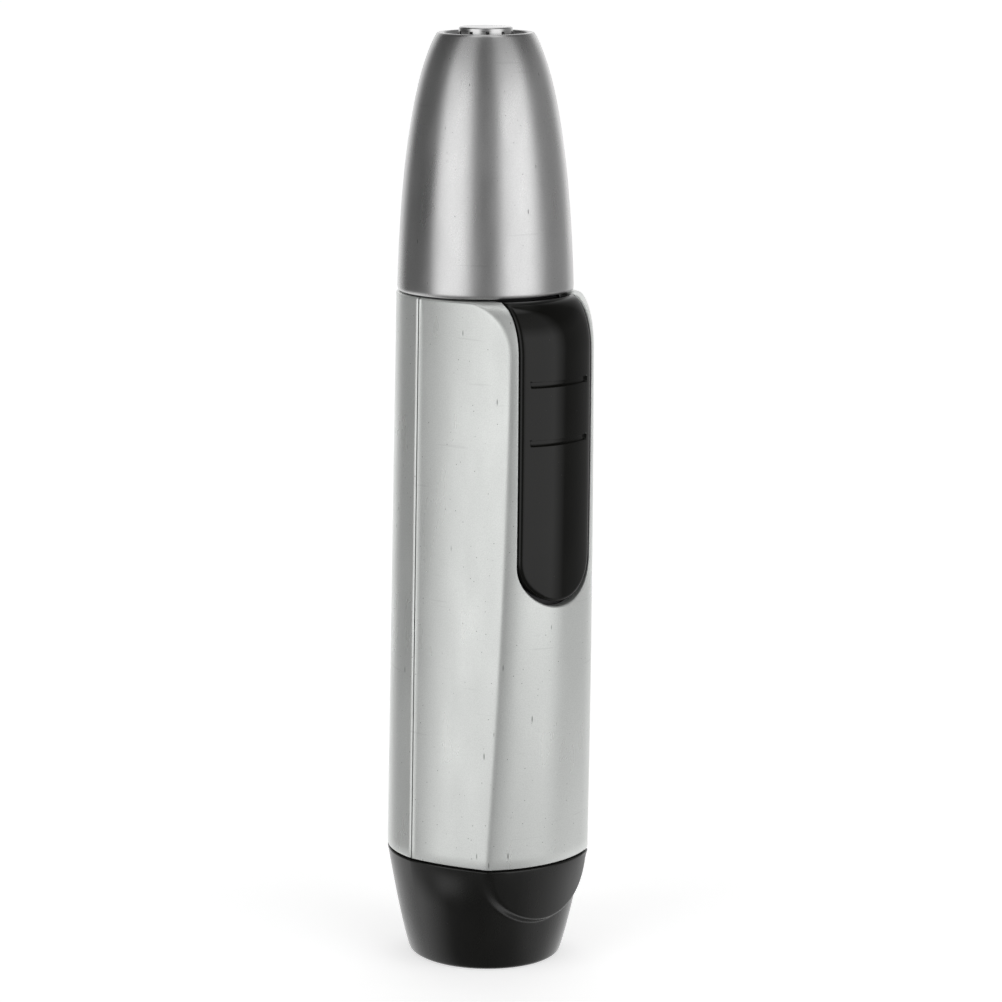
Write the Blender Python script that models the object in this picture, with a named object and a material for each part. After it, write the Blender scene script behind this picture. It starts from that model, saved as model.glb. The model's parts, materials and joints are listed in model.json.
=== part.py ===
"""Nose hair trimmer, one object for each physical piece.

The origin is on the axis of the cap, cutter and motor, at the bottom of the base. +Z is up and the
thumb slider faces -Y, so a depth is a distance towards -Y. Lengths are in millimetres, and MM turns
them into metres where a mesh is made. Each moving piece has its origin on its joint's axis.
"""
import math

import bmesh
import bpy

MM = 0.001
GAP = 0.3  # space between two pieces that touch

# The heights of the main pieces.
BASE_TOP = 16.5
BODY_BOTTOM = BASE_TOP + GAP
BODY_TOP = 101.45
CAP_BOTTOM = BODY_TOP + GAP
CAP_TOP = 139.5
CUTTER_TOP = 140.3

# The body's sizes, each as its value at the bottom, its value at the top, and its curve between them:
# a curve of 1 is a straight taper, and a higher one changes sooner and then levels off.
HALF_WIDTH = (14.5, 12.8, 1.0)
REAR_DEPTH = (14.8, 13.3, 1.0)
CREASE_ACROSS = (10.0, 8.0, 1.5)
CREASE_DEPTH = (12.4, 15.4, 1.8)
FRONT_DEPTH = (15.5, 18.0, 2.3)
WALL = 1.5
PARTING = GAP / 2  # each shell stops this far from the parting plane
REAR_POWER = 2.1  # power of the superellipse that rounds the back
SIDE_TURN_START = math.radians(9.0)  # the side panel's lean at the parting line and at the crease
SIDE_TURN_END = math.radians(27.0)
SHOULDER_START = 93.85  # above this the front curves in to meet the cap
SHOULDER_RISE = 7.75
SHOULDER_DROP = 4.7
LIP_BOTTOM = 99.9  # the shells' top lip, around the neck ring
LIP_RADIUS = 11.2

# The slider's slot, open at the top with a half-round lower end, and the slider in it.
SLOT_HALF_WIDTH = 6.95
SLOT_BOTTOM = 56.5
SLOT_END_HEIGHT = 6.4
SLIDER_HALF_WIDTH = 6.7
SLIDER_BOTTOM = 57.2
SLIDER_SETBACK = 0.1
SLIDER_THICKNESS = 1.5
SLIDER_LIP_RADIUS = 13.4  # the slider's inside clears the cap's rim when it is pushed up
NOTCH_BOTTOMS = (89.2, 80.6)
NOTCH_HEIGHT = 1.0
NOTCH_HALF_WIDTH = 5.4
NOTCH_DEPTH = 0.4
BED_THICKNESS = 1.2
STEM_HALF_WIDTH = 2.0
STEM_BOTTOM = 74.0
STEM_TOP = 80.0
SLIDER_TRAVEL = 3.5

# The cap's outside is one smooth curve from its rim to its mouth, as (radius, height). It leaves the rim
# towards CAP_SIDE and comes to the mouth from CAP_SHOULDER.
CAP_RIM = (13.1, CAP_BOTTOM)
CAP_SIDE = (12.7, 116.0)
CAP_SHOULDER = (11.2, 132.5)
CAP_MOUTH = (7.2, CAP_TOP - 0.1)
CAP_INNER_TOP = 136.6  # the inside follows the outside up to here
CAP_WALL = 1.35
CAP_OPENING = 6.27

# The base.
BASE_FOOT_HALF_WIDTH = 11.0
BASE_FOOT_FRONT = 11.4
BASE_FOOT_REAR = 12.0
BASE_FRONT_TOP = 12.9
BASE_TAPER_POWER = 0.8
BASE_EDGE = 0.5
TONGUE_TIP = 7.0
TONGUE_HALF_WIDTH = 10.0
TONGUE_SHOULDER = 15.0
TONGUE_POWER = 1.9  # power of the superellipse that rounds its lower end
TONGUE_DEPTH_TOP = 15.45
TONGUE_DEPTH_TIP = 14.0
TONGUE_CURVE = 1.2  # how late its face turns back towards its tip
TONGUE_BACK = 7.0  # how deep inside the base its body starts
BASE_FLOOR = 2.5
CELL_POCKET_RADIUS = 7.8
PLUG_POCKET_RADIUS = 9.7
PLUG_POCKET_BOTTOM = 9.0
PLUG_TOP = 22.5
GROOVE_RADIUS = 8.5
GROOVE_LOW = 18.95
GROOVE_HIGH = 20.45
SEAL_RADIUS = 9.15  # the seal ring's middle circle
SEAL_WIRE = 0.48

# The AA cell: 14.5 mm across and 50.5 mm long.
CELL_RADIUS = 7.25
CELL_BOTTOM = 8.0
CELL_TOP = CELL_BOTTOM + 50.5
TUBE_RADIUS = 9.3
TUBE_TOP = 60.8

# The motor: a flat-sided can 20 mm wide and 15 mm deep.
MOTOR_RADIUS = 10.0
MOTOR_FLAT = 7.5
MOTOR_WALL = 0.8
MOTOR_BOTTOM = 63.0
MOTOR_TOP = 88.0
SHAFT_RADIUS = 1.0
SHAFT_BOTTOM = 61.8
SHAFT_TOP = 96.4
BORE_RADIUS = SHAFT_RADIUS + 0.15
BUSH_RADIUS = 2.0
BUSH_LENGTH = 2.8

# The head.
NECK_BORE = 9.3
COLLAR_RADIUS = NECK_BORE - 0.4
LUG_RADIUS = 10.2
LUG_BOTTOM = 100.4
LUG_TOP = 102.4
LUG_HALF_ANGLE = math.radians(12.0)
LUG_COUNT = 3
HEAD_TWIST = math.radians(30.0)
CUTTER_RADIUS = 3.97
CUTTER_WALL = 0.3
CUTTER_SLOTS = 10
CUTTER_LID = 0.5
CUTTER_SLOT_BOTTOM = 131.0
CUTTER_SLOT_TOP = CUTTER_TOP - 0.6
CUTTER_SLOT_WIDTH = 0.5

ROUND = 24  # sides of a large round piece
FINE_ROUND = 36
SMALL_ROUND = 16

COLOURS = {
    "body_silver": ((0.62, 0.64, 0.64), 0.38, 0.7),
    "cap_silver": ((0.55, 0.55, 0.56), 0.3, 0.8),
    "gloss_black": ((0.012, 0.012, 0.013), 0.12, 0.0),
    "satin_black": ((0.018, 0.018, 0.02), 0.32, 0.0),
    "inner_black": ((0.03, 0.03, 0.032), 0.5, 0.0),
    "inner_grey": ((0.3, 0.31, 0.32), 0.5, 0.0),
    "stainless": ((0.6, 0.6, 0.6), 0.22, 1.0),
    "motor_steel": ((0.5, 0.5, 0.5), 0.35, 1.0),
    "dark_iron": ((0.12, 0.11, 0.11), 0.5, 0.8),
    "magnet": ((0.06, 0.06, 0.065), 0.7, 0.1),
    "copper": ((0.72, 0.33, 0.18), 0.3, 1.0),
    "brass": ((0.75, 0.56, 0.25), 0.3, 1.0),
    "seal_rubber": ((0.02, 0.02, 0.02), 0.75, 0.0),
    "cell_jacket": ((0.06, 0.16, 0.3), 0.35, 0.0),
}


# ---------------------------------------------------------------- tools for making pieces


def clear_scene():
    for item in list(bpy.data.objects):
        bpy.data.objects.remove(item, do_unlink=True)


def material(slot):
    found = bpy.data.materials.get(slot)
    if found:
        return found
    colour, roughness, metallic = COLOURS[slot]
    made = bpy.data.materials.new(slot)
    made.use_nodes = True
    shader = made.node_tree.nodes["Principled BSDF"]
    shader.inputs["Base Color"].default_value = (*colour, 1.0)
    shader.inputs["Roughness"].default_value = roughness
    shader.inputs["Metallic"].default_value = metallic
    return made


def piece(name, points, faces, slot, smooth=True):
    """An object from points in millimetres and faces of point numbers, with its faces turned outwards."""
    mesh = bpy.data.meshes.new(name)
    shape = bmesh.new()
    corners = [shape.verts.new([value * MM for value in point]) for point in points]
    for face in faces:
        shape.faces.new([corners[number] for number in face])
    bmesh.ops.recalc_face_normals(shape, faces=shape.faces)
    if shape.calc_volume(signed=True) < 0:
        bmesh.ops.reverse_faces(shape, faces=shape.faces)
    shape.to_mesh(mesh)
    shape.free()
    made = bpy.data.objects.new(name, mesh)
    bpy.context.scene.collection.objects.link(made)
    if slot:
        mesh.materials.append(material(slot))
    if smooth:
        mesh.shade_smooth()
        mesh.set_sharp_from_angle(angle=math.radians(20.0))
    return made


def loft(name, rings, slot, smooth=True):
    """A closed solid through rings of points that all have the same number of points."""
    count = len(rings[0])
    points = [point for ring in rings for point in ring]
    faces = [tuple(range(count)), tuple(range(len(points) - count, len(points)))]
    for row in range(len(rings) - 1):
        for column in range(count):
            after = (column + 1) % count
            low = row * count
            faces.append((low + column, low + after, low + count + after, low + count + column))
    return piece(name, points, faces, slot, smooth)


def turned(name, profile, slot, sides=ROUND):
    """A closed profile of (radius, height) points, turned around Z. Points at radius 0 are poles."""
    points = []
    rows = []
    for radius, height in profile:
        if radius == 0:
            rows.append([len(points)] * sides)
            points.append((0.0, 0.0, height))
            continue
        rows.append([len(points) + step for step in range(sides)])
        for step in range(sides):
            angle = 2 * math.pi * step / sides
            points.append((radius * math.cos(angle), radius * math.sin(angle), height))
    faces = []
    for row, following in zip(rows, rows[1:] + rows[:1]):
        if row[0] == row[1] and following[0] == following[1]:
            continue
        for step in range(sides):
            after = (step + 1) % sides
            corners = (row[step], row[after], following[after], following[step])
            faces.append(tuple(dict.fromkeys(corners)))
    return piece(name, points, faces, slot)


def prism(name, outline, low, high, slot):
    """An outline of (x, y) points, raised from low to high."""
    return loft(name, [[(x, y, z) for x, y in outline] for z in (low, high)], slot)


def block(name, low, high, slot=None):
    corners = [(low[0], low[1]), (high[0], low[1]), (high[0], high[1]), (low[0], high[1])]
    rings = [[(x, y, z) for x, y in corners] for z in (low[2], high[2])]
    return loft(name, rings, slot, smooth=False)


def as_tool(tool):
    tool.hide_render = True
    tool.display_type = "WIRE"


def combine(target, tool, operation):
    change = target.modifiers.new(tool.name, "BOOLEAN")
    change.operation = operation
    change.solver = "EXACT"
    change.object = tool
    as_tool(tool)


def cut(target, tool):
    combine(target, tool, "DIFFERENCE")


def join(target, tool):
    combine(target, tool, "UNION")


def sector(radius_in, radius_out, start, end, steps=6):
    """The outline of a ring's sector between two angles."""
    angles = [start + (end - start) * step / steps for step in range(steps + 1)]
    outer = [(radius_out * math.cos(angle), radius_out * math.sin(angle)) for angle in angles]
    inner = [(radius_in * math.cos(angle), radius_in * math.sin(angle)) for angle in reversed(angles)]
    return outer + inner


def coil(name, low, high, turns, wire, slot):
    """A round wire that climbs from low to high, which are (radius, height) of the wire's middle."""
    steps = int(turns * 10)
    sides = 5
    rings = []
    for step in range(steps + 1):
        share = step / steps
        angle = 2 * math.pi * turns * share
        radius = low[0] + (high[0] - low[0]) * share
        height = low[1] + (high[1] - low[1]) * share
        ring = []
        for side in range(sides):
            around = 2 * math.pi * side / sides
            out = radius + wire * math.cos(around)
            ring.append((out * math.cos(angle), out * math.sin(angle), height + wire * math.sin(around)))
        rings.append(ring)
    return loft(name, rings, slot)


def body_size(size, height):
    """One of the body's sizes at a height."""
    bottom, top, curve = size
    share = min(max((BODY_TOP - height) / (BODY_TOP - BODY_BOTTOM), 0.0), 1.0)
    return top + (bottom - top) * share**curve


# ---------------------------------------------------------------- the body's outside


def shoulder_drop(height):
    share = min(max((height - SHOULDER_START) / SHOULDER_RISE, 0.0), 1.0)
    return SHOULDER_DROP * (1 - math.sqrt(1 - share * share))


def front_depth(x, height):
    """The depth of the front surface at x, which is an arc in plan."""
    sizes = (CREASE_ACROSS, CREASE_DEPTH, FRONT_DEPTH)
    crease_x, crease_depth, middle = (body_size(size, height) for size in sizes)
    rise = middle - crease_depth
    radius = (crease_x**2 + rise**2) / (2 * rise)
    return middle - (radius - math.sqrt(radius**2 - x * x)) - shoulder_drop(height)


def side_point(height, t):
    """The side panel in plan, from the parting line at t = 0 to the crease at t = 1, as (x, depth)."""
    sizes = (HALF_WIDTH, CREASE_ACROSS, CREASE_DEPTH)
    half_width, crease_x, crease_depth = (body_size(size, height) for size in sizes)
    reach = math.hypot(half_width - crease_x, crease_depth) / 3
    xs = (
        half_width,
        half_width - reach * math.sin(SIDE_TURN_START),
        crease_x + reach * math.sin(SIDE_TURN_END),
        crease_x,
    )
    depths = (
        0.0,
        reach * math.cos(SIDE_TURN_START),
        crease_depth - reach * math.cos(SIDE_TURN_END),
        crease_depth,
    )
    weights = ((1 - t) ** 3, 3 * t * (1 - t) ** 2, 3 * t * t * (1 - t), t**3)
    return tuple(sum(weight * value for weight, value in zip(weights, values)) for values in (xs, depths))


def crease_place(height):
    """Where along the side panel the front surface cuts it off."""
    low, high = 0.3, 1.0
    for _ in range(30):
        middle = (low + high) / 2
        x, depth = side_point(height, middle)
        if depth < front_depth(x, height):
            low = middle
        else:
            high = middle
    return low


def front_outline(height, side_steps=6, front_steps=14):
    """The front half of the body in plan, from +X to -X, as (x, y)."""
    end = crease_place(height)
    side = [side_point(height, end * step / side_steps) for step in range(side_steps + 1)]
    side[0] = (side[0][0], PARTING)
    crease_x = side[-1][0]
    front = []
    for step in range(1, front_steps):
        x = crease_x * (1 - 2 * step / front_steps)
        front.append((x, front_depth(x, height)))
    mirrored = [(-x, depth) for x, depth in reversed(side)]
    return [(x, -depth) for x, depth in side + front + mirrored]


def rear_outline(height, steps=22):
    """The rear half of the body in plan, from +X to -X."""
    half_width, depth = (body_size(size, height) for size in (HALF_WIDTH, REAR_DEPTH))
    points = []
    for step in range(steps + 1):
        angle = math.pi * step / steps
        across = math.copysign(abs(math.cos(angle)) ** (2 / REAR_POWER), math.cos(angle))
        points.append((half_width * across, max(depth * math.sin(angle) ** (2 / REAR_POWER), PARTING)))
    return points


def inset(outline, distance):
    """An open outline moved inwards, with its two ends kept at their own y."""
    moved = []
    for index, (x, y) in enumerate(outline):
        if index in (0, len(outline) - 1):
            moved.append((x - math.copysign(distance, x), y))
            continue
        before, after = outline[index - 1], outline[index + 1]
        ahead = (after[0] - before[0], after[1] - before[1])
        length = math.hypot(*ahead)
        normal = (ahead[1] / length, -ahead[0] / length)
        if normal[0] * x + normal[1] * y > 0:
            normal = (-normal[0], -normal[1])
        moved.append((x + normal[0] * distance, y + normal[1] * distance))
    return moved


def on_lip(outline):
    """The points of the lip's round hole that face an outline's points."""
    points = []
    for index, (x, y) in enumerate(outline):
        if index in (0, len(outline) - 1):
            points.append((math.copysign(math.sqrt(LIP_RADIUS**2 - y * y), x), y))
            continue
        angle = math.atan2(y, x)
        points.append((LIP_RADIUS * math.cos(angle), LIP_RADIUS * math.sin(angle)))
    return points


def shell(name, outline_at, heights, slot):
    """One half of the body: a C in plan, with a lip around the neck at the top."""
    rings = []
    for height in heights:
        outline = outline_at(height)
        hollow = on_lip(outline) if height > LIP_BOTTOM else inset(outline, WALL)
        rings.append([(x, y, height) for x, y in outline + hollow[::-1]])
    return loft(name, rings, slot)


# ---------------------------------------------------------------- casing


def make_shells():
    heights = [BODY_BOTTOM, 28.0, 40.0, 50.0, 60.0, 70.0, 80.0, 88.0, 93.8, 96.0, 98.0, LIP_BOTTOM]
    heights += [LIP_BOTTOM + 0.3, 100.9, BODY_TOP]
    front = shell("front_shell", front_outline, heights, "body_silver")
    shell("rear_shell", rear_outline, heights[:8] + heights[-4:], "body_silver")
    middle = SLOT_BOTTOM + SLOT_END_HEIGHT
    outline = [(SLOT_HALF_WIDTH, BODY_TOP + 5), (-SLOT_HALF_WIDTH, BODY_TOP + 5)]
    for step in range(17):
        angle = math.pi * (1 + step / 16)
        outline.append((SLOT_HALF_WIDTH * math.cos(angle), middle + SLOT_END_HEIGHT * math.sin(angle)))
    rings = [[(x, y, z) for x, z in outline] for y in (-9.0, -25.0)]
    cut(front, loft("slot_tool", rings, None))


def make_neck():
    profile = [
        (NECK_BORE, 91.0),
        (LIP_RADIUS - GAP, 91.0),
        (LIP_RADIUS - GAP, CAP_BOTTOM),
        (11.35, CAP_BOTTOM + 0.05),
        (11.35, 105.2),
        (11.1, 105.5),
        (NECK_BORE, 105.5),
    ]
    neck = turned("neck_ring", profile, "inner_black", FINE_ROUND)
    spare = math.radians(2.5)
    for number in range(LUG_COUNT):
        middle = 2 * math.pi * number / LUG_COUNT + math.pi / 2
        start = middle - LUG_HALF_ANGLE - spare
        end = middle + HEAD_TWIST + LUG_HALF_ANGLE + spare
        level = sector(NECK_BORE - 0.5, LUG_RADIUS + 0.4, start, end, 10)
        cut(neck, prism(f"neck_level_tool_{number}", level, LUG_BOTTOM - GAP, LUG_TOP + GAP, None))
        entry = sector(NECK_BORE - 0.5, LUG_RADIUS + 0.4, end - 2 * (LUG_HALF_ANGLE + spare), end, 6)
        cut(neck, prism(f"neck_entry_tool_{number}", entry, LUG_TOP, 107.0, None))


def cap_curve(steps):
    """Points up the cap's outside, from its rim to its mouth: a cubic Bezier curve."""
    points = []
    for step in range(steps + 1):
        share = step / steps
        rest = 1 - share
        weights = (rest**3, 3 * rest**2 * share, 3 * rest * share**2, share**3)
        corners = (CAP_RIM, CAP_SIDE, CAP_SHOULDER, CAP_MOUTH)
        points.append(tuple(sum(w * corner[axis] for w, corner in zip(weights, corners)) for axis in (0, 1)))
    return points


def make_cap():
    outer = cap_curve(10)
    rim = [(7.0, CAP_TOP), (6.5, CAP_TOP), (CAP_OPENING, CAP_TOP - 0.3), (CAP_OPENING, 138.0)]
    inner = [(radius - CAP_WALL, height) for radius, height in reversed(outer) if height < CAP_INNER_TOP]
    turned("protective_cap", outer + rim + inner, "cap_silver", FINE_ROUND)


# ---------------------------------------------------------------- slider and switch


def slider_half_width(height):
    middle = SLIDER_BOTTOM + SLOT_END_HEIGHT
    if height >= middle:
        return SLIDER_HALF_WIDTH
    return SLIDER_HALF_WIDTH * math.sqrt(1 - ((middle - height) / SLOT_END_HEIGHT) ** 2)


def curved_plate(name, heights, half_width_at, outer_setback, thickness, slot, least_radius=0.0):
    """A plate that follows the body's front surface at a setback."""
    rings = []
    steps = 10
    for height in heights:
        half_width = half_width_at(height)
        xs = [half_width * (1 - 2 * step / steps) for step in range(steps + 1)]
        outer = [(x, -(front_depth(x, height) - outer_setback), height) for x in xs]
        inner = []
        for x, y, z in reversed(outer):
            depth = max(-y - thickness, math.sqrt(max(least_radius**2 - x * x, 0.0)))
            inner.append((x, -depth, z))
        rings.append(outer + inner)
    return loft(name, rings, slot)


def make_slider():
    shares = [1 - math.cos(math.pi / 2 * step / 7) for step in range(1, 8)]
    heights = [SLIDER_BOTTOM + SLOT_END_HEIGHT * share for share in shares]
    heights += [72.0, 80.0, 87.0, 93.8, 96.0, 98.0, 99.5, 100.7, BODY_TOP]
    shape = (SLIDER_SETBACK, SLIDER_THICKNESS, "gloss_black", SLIDER_LIP_RADIUS)
    slider = curved_plate("thumb_slider", heights, slider_half_width, *shape)
    stem_low = (-STEM_HALF_WIDTH, -17.0, STEM_BOTTOM)
    stem_high = (STEM_HALF_WIDTH, -12.4, STEM_TOP)
    join(slider, block("stem_tool", stem_low, stem_high))
    clear = 1.0  # how far the notch tools stand out of the slider's face
    for number, low in enumerate(NOTCH_BOTTOMS):
        levels = (low, low + NOTCH_HEIGHT)
        shape = (lambda _: NOTCH_HALF_WIDTH, SLIDER_SETBACK - clear, NOTCH_DEPTH + clear, None)
        cut(slider, curved_plate(f"notch_tool_{number}", levels, *shape))


def make_switch():
    setback = SLIDER_SETBACK + SLIDER_THICKNESS + 0.35
    heights = [50.0, 58.0, 66.0, 74.0, 82.0, 90.0, 93.8, 96.0, 97.2]
    shape = (lambda _: SLIDER_HALF_WIDTH, setback, BED_THICKNESS, "inner_black")
    bed = curved_plate("switch_bed", heights, *shape)
    room = STEM_HALF_WIDTH + GAP
    window_top = STEM_TOP + SLIDER_TRAVEL + GAP
    cut(bed, block("bed_window_tool", (-room, -18.0, STEM_BOTTOM - GAP), (room, -12.0, window_top)))
    keeper = block("slider_keeper", (-4.0, -13.8, 72.0), (4.0, -12.6, 82.0), "inner_grey")
    cut(keeper, block("keeper_hole_tool", (-room, -15.0, STEM_BOTTOM - GAP), (room, -11.0, STEM_TOP + GAP)))
    block("bridge_contact", (-3.0, -12.1, 73.0), (3.0, -11.7, 81.0), "copper")
    block("switch_contact_lower", (-3.0, -11.3, 62.0), (3.0, -10.9, 76.0), "brass")
    block("switch_contact_upper", (-3.0, -11.3, 83.0), (3.0, -10.9, 87.9), "brass")


# ---------------------------------------------------------------- base and cell


def full_outline(height):
    front = front_outline(height)
    rear = rear_outline(height)
    return [(x, y) for x, y in rear] + [(x, y) for x, y in front[::-1]]


def base_ring(height):
    """The base without its tongue: the body's outline at the top, a plain oval at the foot."""
    top = full_outline(BODY_BOTTOM)
    share = 1 - (max(height, 0.0) / BASE_TOP) ** BASE_TAPER_POWER
    edge = max(BASE_EDGE - height, 0.0)
    shrink = BASE_EDGE - math.sqrt(max(BASE_EDGE**2 - edge**2, 0.0))
    ring = []
    for x, y in top:
        reach = -BASE_FRONT_TOP
        start = (x, y) if y > reach else (x, reach)
        angle = math.atan2(y, x)
        foot_depth = BASE_FOOT_REAR if y > 0 else BASE_FOOT_FRONT
        foot = (BASE_FOOT_HALF_WIDTH * math.cos(angle), foot_depth * math.sin(angle))
        blend = [a * (1 - share) + b * share for a, b in zip(start, foot)]
        length = math.hypot(*blend)
        ring.append(tuple(value * (1 - shrink / length) for value in blend) + (height,))
    return ring


def tongue_half_width(height):
    if height >= TONGUE_SHOULDER:
        return TONGUE_HALF_WIDTH
    drop = (TONGUE_SHOULDER - height) / (TONGUE_SHOULDER - TONGUE_TIP)
    return TONGUE_HALF_WIDTH * max(1 - drop**TONGUE_POWER, 0.0) ** (1 / TONGUE_POWER)


def tongue_ring(height):
    steps = 12
    width = tongue_half_width(height)
    rise = body_size(FRONT_DEPTH, BODY_BOTTOM) - body_size(CREASE_DEPTH, BODY_BOTTOM)
    radius = (TONGUE_HALF_WIDTH**2 + rise**2) / (2 * rise)
    share = (height - TONGUE_TIP) / (BASE_TOP - TONGUE_TIP)
    middle = TONGUE_DEPTH_TIP + (TONGUE_DEPTH_TOP - TONGUE_DEPTH_TIP) * (1 - (1 - share) ** TONGUE_CURVE)
    xs = [width * (1 - 2 * step / steps) for step in range(steps + 1)]
    front = [(x, -(middle - (radius - math.sqrt(radius**2 - x * x))), height) for x in xs]
    return front + [(-width, -TONGUE_BACK, height), (width, -TONGUE_BACK, height)]


def make_base():
    heights = (0.0, 0.2, BASE_EDGE, 2.5, 5.0, 8.0, 11.0, 14.0, BASE_TOP)
    base = loft("base_cap", [base_ring(height) for height in heights], "satin_black")
    rise = TONGUE_SHOULDER - TONGUE_TIP
    shares = [1 - math.cos(math.pi / 2 * step / 6) for step in range(1, 7)]
    levels = [TONGUE_TIP + rise * share for share in shares] + [BASE_TOP]
    join(base, loft("tongue_tool", [tongue_ring(height) for height in levels], None))
    pocket = [
        (0, BASE_FLOOR),
        (CELL_POCKET_RADIUS, BASE_FLOOR),
        (CELL_POCKET_RADIUS, PLUG_POCKET_BOTTOM),
        (PLUG_POCKET_RADIUS, PLUG_POCKET_BOTTOM),
        (PLUG_POCKET_RADIUS, BASE_TOP + 3),
        (0, BASE_TOP + 3),
    ]
    cut(base, turned("base_pocket_tool", pocket, None))


def make_plug():
    outer = PLUG_POCKET_RADIUS - GAP
    chamfer = 0.4
    profile = [
        (CELL_POCKET_RADIUS, PLUG_POCKET_BOTTOM + GAP),
        (outer, PLUG_POCKET_BOTTOM + GAP),
        (outer, GROOVE_LOW),
        (GROOVE_RADIUS, GROOVE_LOW),
        (GROOVE_RADIUS, GROOVE_HIGH),
        (outer, GROOVE_HIGH),
        (outer, PLUG_TOP - chamfer),
        (outer - chamfer, PLUG_TOP),
        (CELL_POCKET_RADIUS, PLUG_TOP),
    ]
    turned("base_plug", profile, "inner_black")
    ring = []
    for step in range(8):
        angle = 2 * math.pi * step / 8
        height = (GROOVE_LOW + GROOVE_HIGH) / 2 + SEAL_WIRE * math.sin(angle)
        ring.append((SEAL_RADIUS + SEAL_WIRE * math.cos(angle), height))
    turned("seal_ring", ring, "seal_rubber")


def make_cell():
    can = [(0, 8.6), (6.9, 8.6), (CELL_RADIUS, 8.9), (CELL_RADIUS, 56.5), (6.9, 56.9), (0, 56.9)]
    turned("battery_can", can, "cell_jacket")
    plate_top = CELL_BOTTOM + GAP
    plate = [(0, CELL_BOTTOM), (5.6, CELL_BOTTOM), (5.6, plate_top), (0, plate_top)]
    turned("battery_negative_plate", plate, "stainless")
    cap = [(0, 57.2), (5.2, 57.2), (5.2, 57.5), (2.75, 57.5), (2.75, CELL_TOP), (0, CELL_TOP)]
    turned("battery_positive_cap", cap, "stainless", 24)


def make_battery_bay():
    tube = [
        (9.75, 17.1),
        (11.0, 17.1),
        (11.0, 24.5),
        (TUBE_RADIUS, 25.5),
        (TUBE_RADIUS, TUBE_TOP),
        (3.2, TUBE_TOP),
        (3.2, 59.8),
        (CELL_RADIUS + 0.5, 59.8),
        (CELL_RADIUS + 0.5, 24.0),
        (9.75, 23.2),
    ]
    turned("battery_tube", tube, "inner_grey")
    contact = [(0, 58.9), (4.5, 58.9), (4.5, 59.4), (2.6, 59.4), (2.6, 61.4), (0, 61.4)]
    turned("positive_contact", contact, "brass", 24)
    block("negative_strip", (-1.5, 11.5, 17.6), (1.5, 11.9, 76.0), "brass")
    turned("negative_contact", [(0, 2.8), (7.0, 2.8), (7.0, 3.2), (0, 3.2)], "brass", 24)
    coil("negative_spring", (5.6, 3.95), (3.0, 7.25), 3, 0.42, "stainless")


# ---------------------------------------------------------------- motor


def flat_round(radius, flat, steps=8):
    """A circle cut off by two flats that face -Y and +Y."""
    limit = math.asin(flat / radius)
    right = [limit * (2 * step / steps - 1) for step in range(steps + 1)]
    angles = right + [angle + math.pi for angle in right]
    return [(radius * math.cos(angle), radius * math.sin(angle)) for angle in angles]


def make_motor():
    outer = flat_round(MOTOR_RADIUS, MOTOR_FLAT)
    inner = flat_round(MOTOR_RADIUS - MOTOR_WALL, MOTOR_FLAT - MOTOR_WALL)
    can_bottom = MOTOR_BOTTOM + 2.0
    can = prism("motor_can", outer, can_bottom, MOTOR_TOP, "motor_steel")
    cut(can, prism("can_room_tool", inner, can_bottom - 1, MOTOR_TOP - MOTOR_WALL, None))
    bush_hole = [(0, MOTOR_BOTTOM - 5), (2.3, MOTOR_BOTTOM - 5), (2.3, MOTOR_TOP + 5), (0, MOTOR_TOP + 5)]
    cut(can, turned("can_hole_tool", bush_hole, None, SMALL_ROUND))
    for number, side in enumerate((1, -1)):
        x = side * 6.0
        tool = turned(f"can_screw_tool_{number}", [(0, 86.0), (1.1, 86.0), (1.1, 90.0), (0, 90.0)], None, 12)
        tool.location.x = x * MM
        cut(can, tool)
    bell = prism("motor_end_bell", outer, MOTOR_BOTTOM, can_bottom - GAP, "inner_black")
    cut(bell, turned("bell_hole_tool", bush_hole, None, SMALL_ROUND))
    for name, low in (("motor_lower_bush", 62.4), ("motor_upper_bush", 86.8)):
        high = low + BUSH_LENGTH
        profile = [(BORE_RADIUS, low), (BUSH_RADIUS, low), (BUSH_RADIUS, high), (BORE_RADIUS, high)]
        turned(name, profile, "brass", SMALL_ROUND)
    for name, side in (("motor_magnet_left", math.pi), ("motor_magnet_right", 0.0)):
        outline = sector(6.7, 8.8, side - math.radians(43), side + math.radians(43), 8)
        prism(name, outline, 69.0, 84.0, "magnet")
    for name, side in (("motor_brush_left", -1), ("motor_brush_right", 1)):
        xs = sorted((side * 2.75, side * 3.1))
        block(name, (xs[0], -1.0, 65.2), (xs[1], 1.0, 68.2), "copper")
    for name, side in (("motor_terminal_left", -1), ("motor_terminal_right", 1)):
        xs = sorted((side * 7.2, side * 7.6))
        block(name, (xs[0], -1.2, 61.1), (xs[1], 1.2, 62.7), "brass")


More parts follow.
